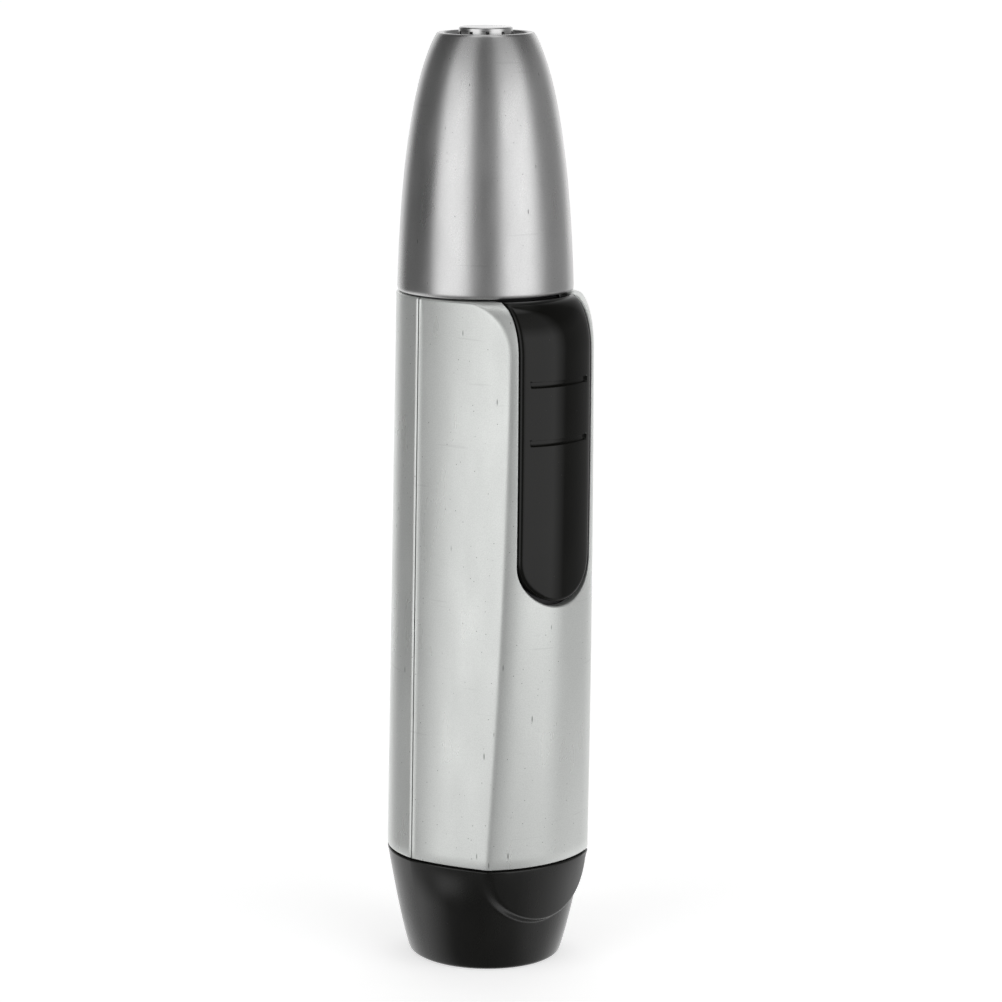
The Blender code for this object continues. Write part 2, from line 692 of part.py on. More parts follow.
def make_motor_frame():
    plate_low, plate_high = MOTOR_TOP + 0.4, MOTOR_TOP + 2.6
    outline = inset(front_outline(96.5), WALL + 0.35)
    outline += inset(rear_outline(96.5), WALL + 0.35)[::-1]
    frame = prism("motor_frame", outline, plate_low, plate_high, "inner_grey")
    join(frame, block("frame_wall_tool", (-7.0, -10.6, 61.5), (7.0, -8.1, plate_low + 1.0)))
    cut(frame, block("frame_front_tool", (-7.5, -25.0, 80.0), (7.5, -12.6, 95.0)))
    hole = [(0, 80.0), (3.0, 80.0), (3.0, 95.0), (0, 95.0)]
    cut(frame, turned("frame_hole_tool", hole, None, SMALL_ROUND))
    for number, side in enumerate((1, -1)):
        x = side * 6.0
        hole = [(0, 85.0), (1.3, 85.0), (1.3, 95.0), (0, 95.0)]
        tool = turned(f"frame_screw_tool_{number}", hole, None, 12)
        tool.location.x = x * MM
        cut(frame, tool)
        top = plate_high + GAP
        profile = [(0, 87.3), (0.85, 87.3), (0.85, top), (1.8, top), (1.8, top + 1.0), (0, top + 1.0)]
        screw = turned(f"motor_screw_{number + 1}", profile, "stainless", 12)
        screw.location.x = x * MM


def make_rotor():
    shaft = [(0, SHAFT_BOTTOM), (SHAFT_RADIUS, SHAFT_BOTTOM), (SHAFT_RADIUS, SHAFT_TOP), (0, SHAFT_TOP)]
    turned("motor_shaft", shaft, "stainless", SMALL_ROUND)
    outline = []
    for pole in range(3):
        middle = 2 * math.pi * pole / 3 + math.pi / 6
        outline += [(2.3, middle - math.radians(58))]
        for radius, turn in ((2.3, -40), (4.9, -17), (4.9, -46), (6.2, -46), (6.2, -23), (6.2, 0)):
            outline.append((radius, middle + math.radians(turn)))
        for radius, turn in ((6.2, 23), (6.2, 46), (4.9, 46), (4.9, 17), (2.3, 40)):
            outline.append((radius, middle + math.radians(turn)))
    outline = [(radius * math.cos(angle), radius * math.sin(angle)) for radius, angle in outline]
    core = prism("armature_core", outline, 70.0, 82.0, "dark_iron")
    bore = [(0, 60.0), (BORE_RADIUS, 60.0), (BORE_RADIUS, 90.0), (0, 90.0)]
    cut(core, turned("core_bore_tool", bore, None, SMALL_ROUND))
    for pole in range(3):
        low, high = (2.75, -2.4, 68.7), (3.7, 2.4, 83.3)
        winding = block(f"winding_{pole + 1}", low, high, "copper")
        hole = block(f"winding_hole_tool_{pole}", (0.0, -1.75, 69.7), (5.0, 1.75, 82.3))
        cut(winding, hole)
        for item in (winding, hole):
            item.rotation_euler.z = 2 * math.pi * pole / 3 + math.pi / 6
    ring = [(BORE_RADIUS, 65.4), (2.4, 65.4), (2.4, 68.4), (BORE_RADIUS, 68.4)]
    turned("commutator", ring, "copper", SMALL_ROUND)
    coupling_profile = [
        (BORE_RADIUS, 91.0),
        (3.6, 91.0),
        (3.6, 92.0),
        (2.4, 92.0),
        (2.4, 98.0),
        (0, 98.0),
        (0, 96.7),
        (BORE_RADIUS, 96.7),
    ]
    coupling = turned("drive_coupling", coupling_profile, "inner_grey", SMALL_ROUND)
    join(coupling, block("tongue_drive_tool", (-0.5, -2.0, 97.5), (0.5, 2.0, 101.0)))


# ---------------------------------------------------------------- cutter


def make_carriage():
    profile = [(0, 99.5), (3.6, 99.5), (3.6, 103.5), (1.8, 105.0), (1.8, 132.0), (0, 132.0)]
    carrier = turned("blade_carrier", profile, "inner_grey", SMALL_ROUND)
    cut(carrier, block("carrier_slot_tool", (-0.8, -5.0, 98.0), (0.8, 5.0, 102.1)))
    bore = 1.8 + 0.2
    blade_profile = [
        (bore, 125.0),
        (2.9, 125.0),
        (3.35, 126.0),
        (3.35, 139.1),
        (0, 139.1),
        (0, 132.4),
        (bore, 132.4),
    ]
    blade = turned("rotary_blade", blade_profile, "stainless", 24)
    for number in range(4):
        angle = math.pi / 2 * number + math.pi / 4
        tool = block(f"blade_notch_tool_{number}", (2.3, -1.1, 129.0), (5.0, 1.1, 141.0))
        tool.rotation_euler.z = angle
        cut(blade, tool)
    coil("blade_spring", (3.05, 92.6), (3.05, 98.9), 4, 0.28, "stainless")


def make_head():
    rings = [(7.4, 98.8), (COLLAR_RADIUS, 98.8), (COLLAR_RADIUS, 105.5), (7.4, 105.5)]
    collar = turned("head_collar", rings, "inner_grey", FINE_ROUND)
    for number in range(LUG_COUNT):
        middle = 2 * math.pi * number / LUG_COUNT + math.pi / 2
        outline = sector(COLLAR_RADIUS - 0.6, LUG_RADIUS, middle - LUG_HALF_ANGLE, middle + LUG_HALF_ANGLE, 4)
        join(collar, prism(f"lug_tool_{number}", outline, LUG_BOTTOM, LUG_TOP, None))
    cone = [
        (5.7, 103.0),
        (7.1, 103.0),
        (7.1, 105.9),
        (10.4, 105.9),
        (10.4, 108.5),
        (10.1, 111.5),
        (9.4, 115.0),
        (8.3, 118.5),
        (6.9, 121.7),
        (5.6, 124.0),
        (4.9, 125.0),
        (CUTTER_RADIUS + GAP, 125.0),
        (CUTTER_RADIUS + GAP, 121.4),
        (5.7, 121.4),
    ]
    turned("head_cone", cone, "satin_black")
    inside = CUTTER_RADIUS - CUTTER_WALL
    tube_profile = [
        (inside, 120.0),
        (5.3, 120.0),
        (5.3, 121.0),
        (CUTTER_RADIUS, 121.0),
        (CUTTER_RADIUS, CUTTER_TOP - 0.3),
        (CUTTER_RADIUS - 0.3, CUTTER_TOP),
        (0, CUTTER_TOP),
        (0, CUTTER_TOP - CUTTER_LID),
        (inside, CUTTER_TOP - CUTTER_LID),
    ]
    tube = turned("cutter_tube", tube_profile, "stainless", 3 * CUTTER_SLOTS)
    for number in range(CUTTER_SLOTS):
        angle = 2 * math.pi * (number + 0.5) / CUTTER_SLOTS
        low = (2.2, -CUTTER_SLOT_WIDTH / 2, CUTTER_SLOT_BOTTOM)
        high = (5.0, CUTTER_SLOT_WIDTH / 2, CUTTER_SLOT_TOP)
        tool = block(f"cutter_slot_tool_{number}", low, high)
        tool.rotation_euler.z = angle
        cut(tube, tool)


def main():
    clear_scene()
    make_shells()
    make_neck()
    make_cap()
    make_slider()
    make_switch()
    make_base()
    make_plug()
    make_cell()
    make_battery_bay()
    make_motor()
    make_motor_frame()
    make_rotor()
    make_carriage()
    make_head()


main()
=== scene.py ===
"""Looks of the nose hair trimmer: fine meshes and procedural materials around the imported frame.

Lengths are in millimetres, and MM turns them into metres where a mesh is made. +Z is up and the thumb
slider faces -Y, so a depth is a distance towards -Y. The body's formulas are those of the CAD model.
"""
import json
import math

import bmesh
import bpy
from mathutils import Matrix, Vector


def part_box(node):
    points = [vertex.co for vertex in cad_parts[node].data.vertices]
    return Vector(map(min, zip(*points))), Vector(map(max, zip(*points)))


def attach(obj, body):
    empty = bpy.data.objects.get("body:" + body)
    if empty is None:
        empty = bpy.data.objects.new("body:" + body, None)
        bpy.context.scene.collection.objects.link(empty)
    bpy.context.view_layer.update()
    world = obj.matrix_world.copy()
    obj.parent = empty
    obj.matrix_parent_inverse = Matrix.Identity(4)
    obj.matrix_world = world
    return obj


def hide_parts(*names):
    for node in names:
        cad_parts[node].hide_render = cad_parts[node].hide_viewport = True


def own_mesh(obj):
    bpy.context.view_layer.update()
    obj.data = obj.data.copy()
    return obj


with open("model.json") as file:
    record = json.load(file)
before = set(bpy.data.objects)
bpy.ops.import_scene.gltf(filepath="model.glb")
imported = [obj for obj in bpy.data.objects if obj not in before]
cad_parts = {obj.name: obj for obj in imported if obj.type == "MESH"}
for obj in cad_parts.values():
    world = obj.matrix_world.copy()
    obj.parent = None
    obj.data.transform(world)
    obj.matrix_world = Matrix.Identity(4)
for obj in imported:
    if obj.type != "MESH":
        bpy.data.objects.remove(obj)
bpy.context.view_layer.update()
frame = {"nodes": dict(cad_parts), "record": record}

MM = 0.001

# ---------------------------------------------------------------- driving dimensions


def top_of(node):
    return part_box(node)[1][2] / MM


def bottom_of(node):
    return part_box(node)[0][2] / MM


BASE_TOP = top_of("base_cap")
BODY_BOTTOM = bottom_of("front_shell")
BODY_TOP = top_of("front_shell")
CAP_BOTTOM = bottom_of("protective_cap")
CAP_TOP = top_of("protective_cap")
CUTTER_TOP = top_of("cutter_tube")
GAP = 0.3

# The body's sizes, each as its value at the bottom, its value at the top, and its curve between them:
# a curve of 1 is a straight taper, and a higher one changes sooner and then levels off.
HALF_WIDTH = (14.5, 12.8, 1.0)
REAR_DEPTH = (14.8, 13.3, 1.0)
CREASE_ACROSS = (10.0, 8.0, 1.5)
CREASE_DEPTH = (12.4, 15.4, 1.8)
FRONT_DEPTH = (15.5, 18.0, 2.3)
WALL = 1.6
PARTING = 0.12
REAR_POWER = 2.1
SIDE_TURN_START = math.radians(9.0)
SIDE_TURN_END = math.radians(27.0)
SHOULDER_START = 93.85
SHOULDER_RISE = 7.75
SHOULDER_DROP = 4.7
LIP_BOTTOM = 99.9
LIP_RADIUS = 11.2
CREASE_SOFTNESS = 0.55  # how far each side of the crease its rounding starts
SHELL_EDGE = 0.2  # rounding of the shells' bottom and parting edges
SHELL_TOP_EDGE = 0.35

SLOT_HALF_WIDTH = 6.95
SLOT_BOTTOM = 56.5
SLOT_END_HEIGHT = 6.4
SLOT_EDGE = 0.3
SLIDER_HALF_WIDTH = 6.7
SLIDER_BOTTOM = 57.2
SLIDER_SETBACK = 0.1
SLIDER_THICKNESS = 1.5
SLIDER_LIP_RADIUS = 13.4
SLIDER_EDGE = 0.42
NOTCH_BOTTOMS = (89.2, 80.6)
NOTCH_HEIGHT = 1.0
NOTCH_WALL = 0.34  # height of the notch's sloping lower wall
NOTCH_LIP = 0.1  # height of its steep top wall
NOTCH_HALF_WIDTH = 5.4
NOTCH_DEPTH = 0.4
# Heights above a notch's bottom where the slider has rows of points.
NOTCH_RISES = (-0.15, 0.0, 0.03, 0.06, 0.1, 0.13, 0.16, 0.25, 0.5, 0.75, 0.9, 0.93, 0.96, 1.0, 1.15)
STEM_HALF_WIDTH = 2.0
STEM_BOTTOM = 74.0
STEM_TOP = 80.0

# The cap's outside is one smooth curve from its rim to its mouth, as (radius, height). It leaves the rim
# towards CAP_SIDE and comes to the mouth from CAP_SHOULDER.
CAP_RIM = (13.1, CAP_BOTTOM)
CAP_SIDE = (12.7, 116.0)
CAP_SHOULDER = (11.2, 132.5)
CAP_MOUTH = (7.2, CAP_TOP - 0.1)
CAP_INNER_TOP = 136.6  # the inside follows the outside up to here
CAP_WALL = 1.35
CAP_OPENING = 6.27

FOOT_HALF_WIDTH = 11.0
FOOT_FRONT = 11.4
FOOT_REAR = 12.0
FOOT_EDGE = 0.5
FOOT_RECESS = 0.3
BASE_FRONT_TOP = 13.8
BASE_ROUND_POWER = 2.5  # the plain oval that the seam's creased outline turns into below it
CREASE_FADE_START = 10.0
BASE_TAPER_POWER = 0.8
BASE_TOP_EDGE = 0.12
TONGUE_TIP = 7.0
TONGUE_HALF_WIDTH = 10.0
TONGUE_SHOULDER = 15.0
TONGUE_POWER = 1.9
TONGUE_DEPTH_TOP = 15.45
TONGUE_DEPTH_TIP = 14.0
TONGUE_CURVE = 1.2  # how late the tongue's face turns back towards its tip
TONGUE_EDGE = 1.2  # width over which the tongue rises from the base
BASE_FLOOR = 2.5
CELL_POCKET_RADIUS = 7.8
PLUG_POCKET_RADIUS = 9.7
PLUG_POCKET_BOTTOM = 9.0
PLUG_TOP = 22.5
GROOVE_RADIUS = 8.5
GROOVE_LOW = 18.95
GROOVE_HIGH = 20.45
SEAL_RADIUS = 9.15  # the seal ring's middle circle
SEAL_HEIGHT = 19.7
SEAL_WIRE = 0.48

NECK_BORE = 9.3
COLLAR_RADIUS = 8.9
LUG_RADIUS = 10.2
LUG_BOTTOM = 100.4
LUG_TOP = 102.4
LUG_HALF_ANGLE = math.radians(12.0)
LUG_COUNT = 3
HEAD_TWIST = math.radians(30.0)
CUTTER_RADIUS = 3.97
CUTTER_WALL = 0.3
CUTTER_SLOTS = 10
CUTTER_LID = 0.5
SPRING_LOW = 92.6  # the blade spring's wire, at the middle of its first and last turn
SPRING_HIGH = 98.9
SPRING_RADIUS = 3.05
SPRING_WIRE = 0.28
SPRING_TURNS = 4
CUTTER_SLOT_BOTTOM = 131.0
CUTTER_SLOT_TOP = CUTTER_TOP - 0.6
CUTTER_SLOT_WIDTH = 0.5

SMOOTH_SIDES = 128
SHARP_ANGLE = math.radians(38.0)

# ---------------------------------------------------------------- materials


class Finish:
    """A material with a Principled shader and short names for the nodes that feed it."""

    def __init__(self, name, colour, metallic=0.0, ior=1.5):
        self.material = bpy.data.materials.new(name)
        self.material.use_nodes = True
        self.tree = self.material.node_tree
        self.shader = self.tree.nodes["Principled BSDF"]
        self.shader.inputs["Metallic"].default_value = metallic
        self.shader.inputs["IOR"].default_value = ior
        self.place = self.tree.nodes.new("ShaderNodeTexCoord").outputs["Object"]
        self.colour = (*colour, 1.0)

    def link(self, start, end):
        self.tree.links.new(start, end)

    def noise(self, scale, detail=3.0, stretch=(1.0, 1.0, 1.0), turn=(0.0, 0.0, 0.0)):
        mapping = self.tree.nodes.new("ShaderNodeMapping")
        mapping.inputs["Scale"].default_value = stretch
        mapping.inputs["Rotation"].default_value = turn
        made = self.tree.nodes.new("ShaderNodeTexNoise")
        made.inputs["Scale"].default_value = scale
        made.inputs["Detail"].default_value = detail
        self.link(self.place, mapping.inputs["Vector"])
        self.link(mapping.outputs["Vector"], made.inputs["Vector"])
        return made.outputs["Fac"]

    def spots(self, scale, size, stretch, turn):
        """1 in small scattered marks and 0 elsewhere."""
        mapping = self.tree.nodes.new("ShaderNodeMapping")
        mapping.inputs["Scale"].default_value = stretch
        mapping.inputs["Rotation"].default_value = turn
        cells = self.tree.nodes.new("ShaderNodeTexVoronoi")
        cells.inputs["Scale"].default_value = scale
        self.link(self.place, mapping.inputs["Vector"])
        self.link(mapping.outputs["Vector"], cells.inputs["Vector"])
        return self.ranged(cells.outputs["Distance"], size, size * 0.5, 0.0, 1.0)

    def ranged(self, value, low, high, low_out, high_out):
        made = self.tree.nodes.new("ShaderNodeMapRange")
        for key, number in (("From Min", low), ("From Max", high), ("To Min", low_out), ("To Max", high_out)):
            made.inputs[key].default_value = number
        self.link(value, made.inputs["Value"])
        return made.outputs["Result"]

    def maths(self, operation, first, second):
        made = self.tree.nodes.new("ShaderNodeMath")
        made.operation = operation
        for socket, value in zip(made.inputs, (first, second)):
            if isinstance(value, (int, float)):
                socket.default_value = value
            else:
                self.link(value, socket)
        return made.outputs["Value"]

    def tint(self, share, first, second):
        made = self.tree.nodes.new("ShaderNodeMix")
        made.data_type = "RGBA"
        self.link(share, made.inputs["Factor"])
        for socket, value in ((made.inputs["A"], first), (made.inputs["B"], second)):
            self.set_colour(made, socket, value)
        return [output for output in made.outputs if output.type == "RGBA"][0]

    def set_colour(self, node, socket, value):
        target = [item for item in node.inputs if item.name == socket.name and item.type == "RGBA"][0]
        if isinstance(value, tuple):
            target.default_value = value
        else:
            self.link(value, target)

    def shade(self, factor):
        return (*(min(channel * factor, 1.0) for channel in self.colour[:3]), 1.0)

    def finish(self, colour, rough, height, depth):
        self.link(colour, self.shader.inputs["Base Color"])
        self.link(rough, self.shader.inputs["Roughness"])
        bump = self.tree.nodes.new("ShaderNodeBump")
        bump.inputs["Strength"].default_value = 1.0
        bump.inputs["Distance"].default_value = depth * MM
        self.link(height, bump.inputs["Height"])
        self.link(bump.outputs["Normal"], self.shader.inputs["Normal"])
        return self.material


def paint(name, colour, roughness, metallic, nick_size, flake=7000.0):
    """Silver metallic paint: fine flakes, a slow change of tone, short nicks and hair scratches."""
    made = Finish(name, colour, metallic)
    flakes = made.noise(flake, 2.0)
    tone = made.noise(70.0, 3.0)
    haze = made.noise(260.0, 4.0, (1.0, 1.0, 0.3))
    upright = made.spots(420.0, nick_size, (1.0, 1.0, 0.22), (0.5, 0.4, 0.2))
    slanted = made.spots(470.0, nick_size * 0.9, (1.0, 1.0, 0.2), (1.1, -0.7, 0.6))
    pits = made.spots(800.0, nick_size * 1.3, (1.0, 1.0, 1.0), (0.0, 0.0, 0.0))
    marks = made.maths("MAXIMUM", made.maths("MAXIMUM", upright, slanted), pits)
    hairs = made.ranged(made.noise(1500.0, 1.0, (0.07, 0.07, 1.0), (0.35, 0.5, 0.2)), 0.72, 0.77, 0.0, 1.0)
    grain = made.tint(made.ranged(flakes, 0.3, 0.7, 0.0, 1.0), made.shade(0.92), made.shade(1.07))
    clouded = made.tint(made.ranged(tone, 0.3, 0.7, 0.0, 0.22), grain, made.shade(0.88))
    scratched = made.tint(made.maths("MULTIPLY", hairs, 0.25), clouded, made.shade(0.7))
    worn = made.tint(made.maths("MULTIPLY", marks, 0.75), scratched, made.shade(0.22))
    rough = made.ranged(haze, 0.25, 0.75, roughness - 0.05, roughness + 0.06)
    height = made.maths("SUBTRACT", made.maths("MULTIPLY", flakes, 0.25), marks)
    return made.finish(worn, rough, height, 0.012)


def moulded(name, colour, roughness, grain_scale, grain_depth, ior=1.5):
    """Moulded plastic: a fine grain, slow change of tone, faint rubbed patches and a few specks of dust."""
    made = Finish(name, colour, ior=ior)
    grain = made.noise(grain_scale, 3.0)
    tone = made.noise(120.0, 3.0)
    rubbed = made.noise(300.0, 4.0, (1.0, 1.0, 0.35))
    specks = made.spots(800.0, 0.035, (1.0, 1.0, 1.0), (0.3, 0.2, 0.1))
    base = made.tint(made.ranged(tone, 0.3, 0.7, 0.0, 1.0), made.shade(0.85), made.shade(1.2))
    dusted = made.tint(made.maths("MULTIPLY", specks, 0.3), base, (0.35, 0.35, 0.35, 1.0))
    rough = made.ranged(rubbed, 0.3, 0.7, roughness - 0.03, roughness + 0.06)
    return made.finish(dusted, rough, grain, grain_depth)


def metal(name, colour, roughness, stretch, line_scale=2600.0, line_depth=0.006):
    """Bare metal: drawn or ground lines, a slow change of tone and dull stained patches."""
    made = Finish(name, colour, 1.0)
    lines = made.noise(line_scale, 4.0, stretch)
    stain = made.noise(240.0, 4.0)
    base = made.tint(made.ranged(lines, 0.3, 0.7, 0.0, 1.0), made.shade(0.82), made.shade(1.12))
    stained = made.tint(made.ranged(stain, 0.5, 0.8, 0.0, 0.4), base, made.shade(0.6))
    rough = made.ranged(lines, 0.3, 0.7, roughness - 0.06, roughness + 0.1)
    return made.finish(stained, rough, lines, line_depth)


def banded_jacket(name, colour):
    """A cell's printed film: two plain bands without marks, with a soft wrinkle."""
    made = Finish(name, colour, 0.3)
    apart = made.tree.nodes.new("ShaderNodeSeparateXYZ")
    made.link(made.place, apart.inputs["Vector"])
    upper = made.ranged(apart.outputs["Z"], 0.0442, 0.0443, 0.0, 1.0)
    tone = made.noise(180.0, 3.0)
    film = made.tint(made.ranged(tone, 0.3, 0.7, 0.0, 1.0), made.shade(0.85), made.shade(1.15))
    coloured = made.tint(upper, film, (0.55, 0.45, 0.28, 1.0))
    rough = made.ranged(tone, 0.3, 0.7, 0.26, 0.36)
    return made.finish(coloured, rough, made.noise(900.0, 3.0), 0.01)


AROUND = (0.03, 0.03, 1.0)  # lines that run around the axis
ALONG = (1.0, 1.0, 0.03)  # lines that run along it

MATERIALS = {
    "body_silver": paint("silver_paint_body", (0.80, 0.82, 0.80), 0.30, 0.50, 0.060),
    "cap_silver": paint("silver_paint_cap", (0.58, 0.58, 0.58), 0.29, 0.92, 0.045),
    "gloss_black": moulded("gloss_black_plastic", (0.007, 0.007, 0.006), 0.06, 900.0, 0.002, 1.33),
    "satin_black": moulded("satin_black_plastic", (0.009, 0.009, 0.008), 0.24, 3500.0, 0.004, 1.45),
    "inner_black": moulded("black_nylon", (0.03, 0.03, 0.032), 0.48, 4500.0, 0.012),
    "inner_grey": moulded("grey_acetal", (0.30, 0.31, 0.32), 0.46, 4500.0, 0.012),
    "stainless": metal("ground_stainless", (0.62, 0.62, 0.62), 0.24, AROUND),
    "motor_steel": metal("plated_steel", (0.50, 0.50, 0.50), 0.34, ALONG),
    "dark_iron": metal("stacked_laminations", (0.12, 0.11, 0.11), 0.48, AROUND, 3200.0, 0.03),
    "magnet": moulded("sintered_ferrite", (0.06, 0.06, 0.065), 0.68, 2800.0, 0.03),
    "copper": metal("bare_copper", (0.72, 0.33, 0.18), 0.30, AROUND),
    "brass": metal("stamped_brass", (0.75, 0.56, 0.25), 0.30, ALONG),
    "seal_rubber": moulded("seal_rubber", (0.02, 0.02, 0.02), 0.70, 3000.0, 0.02),
    "cell_jacket": banded_jacket("cell_film", (0.06, 0.16, 0.30)),
}

# ---------------------------------------------------------------- tools for making pieces

BODY_OF = {node: body for body, nodes in frame["record"]["behaviour"]["bodies"].items() for node in nodes}
SLOT_OF = {item["node"]: item["material_slot"] for item in frame["record"]["subparts"]}
replaced_nodes = set()


def mesh_object(name, points, faces):
    """An object from points in millimetres, with its faces turned outwards."""
    mesh = bpy.data.meshes.new(name)
    shape = bmesh.new()
    corners = [shape.verts.new([value * MM for value in point]) for point in points]
    for face in faces:
        shape.faces.new([corners[number] for number in face])
    bmesh.ops.recalc_face_normals(shape, faces=shape.faces)
    if shape.calc_volume(signed=True) < 0:
        bmesh.ops.reverse_faces(shape, faces=shape.faces)
    shape.to_mesh(mesh)
    shape.free()
    made = bpy.data.objects.new(name, mesh)
    bpy.context.scene.collection.objects.link(made)
    return made


def loft(name, rings):
    """A closed solid through rings of points that all have the same number of points."""
    count = len(rings[0])
    points = [point for ring in rings for point in ring]
    faces = [tuple(range(count)), tuple(range(len(points) - count, len(points)))]
    for row in range(len(rings) - 1):
        low = row * count
        for column in range(count):
            after = (column + 1) % count
            faces.append((low + column, low + after, low + count + after, low + count + column))
    return mesh_object(name, points, faces)


def turned(name, profile, sides=SMOOTH_SIDES):
    """A closed profile of (radius, height) points, turned around Z. Points at radius 0 are poles."""
    points = []
    rows = []
    for radius, height in profile:
        if radius == 0:
            rows.append([len(points)] * sides)
            points.append((0.0, 0.0, height))
            continue
        rows.append([len(points) + step for step in range(sides)])
        for step in range(sides):
            angle = 2 * math.pi * step / sides
            points.append((radius * math.cos(angle), radius * math.sin(angle), height))
    faces = []
    for row, following in zip(rows, rows[1:] + rows[:1]):
        if row[0] == row[1] and following[0] == following[1]:
            continue
        for step in range(sides):
            after = (step + 1) % sides
            faces.append(tuple(dict.fromkeys((row[step], row[after], following[after], following[step]))))
    return mesh_object(name, points, faces)


def soften(profile, radius, steps=4):
    """A closed profile with each corner off the axis rounded."""
    made = []
    for index, corner in enumerate(profile):
        before = profile[index - 1]
        after = profile[(index + 1) % len(profile)]
        if corner[0] == 0:
            made.append(corner)
            continue
        ends = []
        for other in (before, after):
            length = math.dist(corner, other)
            share = min(radius, 0.4 * length) / length
            ends.append([a + (b - a) * share for a, b in zip(corner, other)])
        for step in range(steps + 1):
            t = step / steps
            weights = ((1 - t) ** 2, 2 * t * (1 - t), t * t)
            made.append(tuple(sum(w * p[axis] for w, p in zip(weights, (ends[0], corner, ends[1])))
                              for axis in (0, 1)))
    return made


def block(name, low, high):
    corners = [(low[0], low[1]), (high[0], low[1]), (high[0], high[1]), (low[0], high[1])]
    return loft(name, [[(x, y, z) for x, y in corners] for z in (low[2], high[2])])


def prism(name, outline, low, high):
    return loft(name, [[(x, y, z) for x, y in outline] for z in (low, high)])


def sector(radius_in, radius_out, start, end, steps=16):
    angles = [start + (end - start) * step / steps for step in range(steps + 1)]
    outer = [(radius_out * math.cos(angle), radius_out * math.sin(angle)) for angle in angles]
    inner = [(radius_in * math.cos(angle), radius_in * math.sin(angle)) for angle in reversed(angles)]
    return outer + inner


def coil(name, low, high, turns, wire, sides=14, steps_per_turn=48):
    """A round wire that climbs from low to high, which are (radius, height) of the wire's middle."""
    steps = int(turns * steps_per_turn)
    rings = []
    for step in range(steps + 1):
        share = step / steps
        angle = 2 * math.pi * turns * share
        radius = low[0] + (high[0] - low[0]) * share
        height = low[1] + (high[1] - low[1]) * share
        ring = []
        for side in range(sides):
            around = 2 * math.pi * side / sides
            out = radius + wire * math.cos(around)
            ring.append((out * math.cos(angle), out * math.sin(angle), height + wire * math.sin(around)))
        rings.append(ring)
    return loft(name, rings)


def carve(target, tools, operation="DIFFERENCE"):
    """Cuts the tools out of the target, or joins them to it, and removes them."""
    for tool in tools:
        change = target.modifiers.new(tool.name, "BOOLEAN")
        change.operation = operation
        change.solver = "EXACT"
        change.object = tool
    graph = bpy.context.evaluated_depsgraph_get()
    result = bpy.data.meshes.new_from_object(target.evaluated_get(graph))
    target.modifiers.clear()
    target.data = result
    for tool in tools:
        bpy.data.objects.remove(tool, do_unlink=True)
    return target


def stand_for(made, node, angle=SHARP_ANGLE):
    """Shades a finished piece, gives it its node's material, and puts it in that node's place."""
    made.data.shade_smooth()
    made.data.set_sharp_from_angle(angle=angle)
    made.data.materials.clear()
    made.data.materials.append(MATERIALS[SLOT_OF[node]])
    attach(made, BODY_OF[node])
    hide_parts(node)
    replaced_nodes.add(node)
    return made


def body_size(size, height):
    """One of the body's sizes at a height."""
    bottom, top, curve = size
    share = min(max((BODY_TOP - height) / (BODY_TOP - BODY_BOTTOM), 0.0), 1.0)
    return top + (bottom - top) * share**curve


def smooth_value(rows, height, column):
    """A column of a table of heights, read from a smooth curve through its rows."""
    for index in range(len(rows) - 1):
        if height <= rows[index + 1][0] or index == len(rows) - 2:
            break
    low, high = rows[index], rows[index + 1]
    before, after = rows[max(index - 1, 0)], rows[min(index + 2, len(rows) - 1)]
    span = high[0] - low[0]
    slope_low = (high[column] - before[column]) / (high[0] - before[0]) * span
    slope_high = (after[column] - low[column]) / (after[0] - low[0]) * span
    t = min(max((height - low[0]) / span, 0.0), 1.0)
    square, cube = t * t, t * t * t
    start = (2 * cube - 3 * square + 1) * low[column] + (cube - 2 * square + t) * slope_low
    return start + (3 * square - 2 * cube) * high[column] + (cube - square) * slope_high


def smooth_step(value):
    share = min(max(value, 0.0), 1.0)
    return share * share * (3 - 2 * share)


def spread(low, high, spacing):
    """Even places from low to high, no further apart than spacing."""
    count = max(1, math.ceil((high - low) / spacing))
    return [low + (high - low) * step / count for step in range(count + 1)]


def round_over(distance, radius):
    """How far a rounded edge falls back, at a distance in from the edge."""
    if distance >= radius:
        return 0.0
    reach = radius - max(distance, 0.0)
    return radius - math.sqrt(radius * radius - reach * reach)


# ---------------------------------------------------------------- the body's outside


def shoulder_drop(height):
    share = min(max((height - SHOULDER_START) / SHOULDER_RISE, 0.0), 1.0)
    return SHOULDER_DROP * (1 - math.sqrt(1 - share * share))


def front_depth(x, height):
    """The depth of the front surface at x, which is an arc in plan."""
    sizes = (CREASE_ACROSS, CREASE_DEPTH, FRONT_DEPTH)
    crease_x, crease_depth, middle = (body_size(size, height) for size in sizes)
    rise = middle - crease_depth
    radius = (crease_x**2 + rise**2) / (2 * rise)
    return middle - (radius - math.sqrt(radius**2 - x * x)) - shoulder_drop(height)


def side_point(height, t):
    """The side panel in plan, from the parting line at t = 0 to the crease at t = 1, as (x, depth)."""
    sizes = (HALF_WIDTH, CREASE_ACROSS, CREASE_DEPTH)
    half_width, crease_x, crease_depth = (body_size(size, height) for size in sizes)
    reach = math.hypot(half_width - crease_x, crease_depth) / 3
    xs = (
        half_width,
        half_width - reach * math.sin(SIDE_TURN_START),
        crease_x + reach * math.sin(SIDE_TURN_END),
        crease_x,
    )
    depths = (
        0.0,
        reach * math.cos(SIDE_TURN_START),
        crease_depth - reach * math.cos(SIDE_TURN_END),
        crease_depth,
    )
    weights = ((1 - t) ** 3, 3 * t * (1 - t) ** 2, 3 * t * t * (1 - t), t**3)
    return tuple(sum(weight * value for weight, value in zip(weights, values)) for values in (xs, depths))


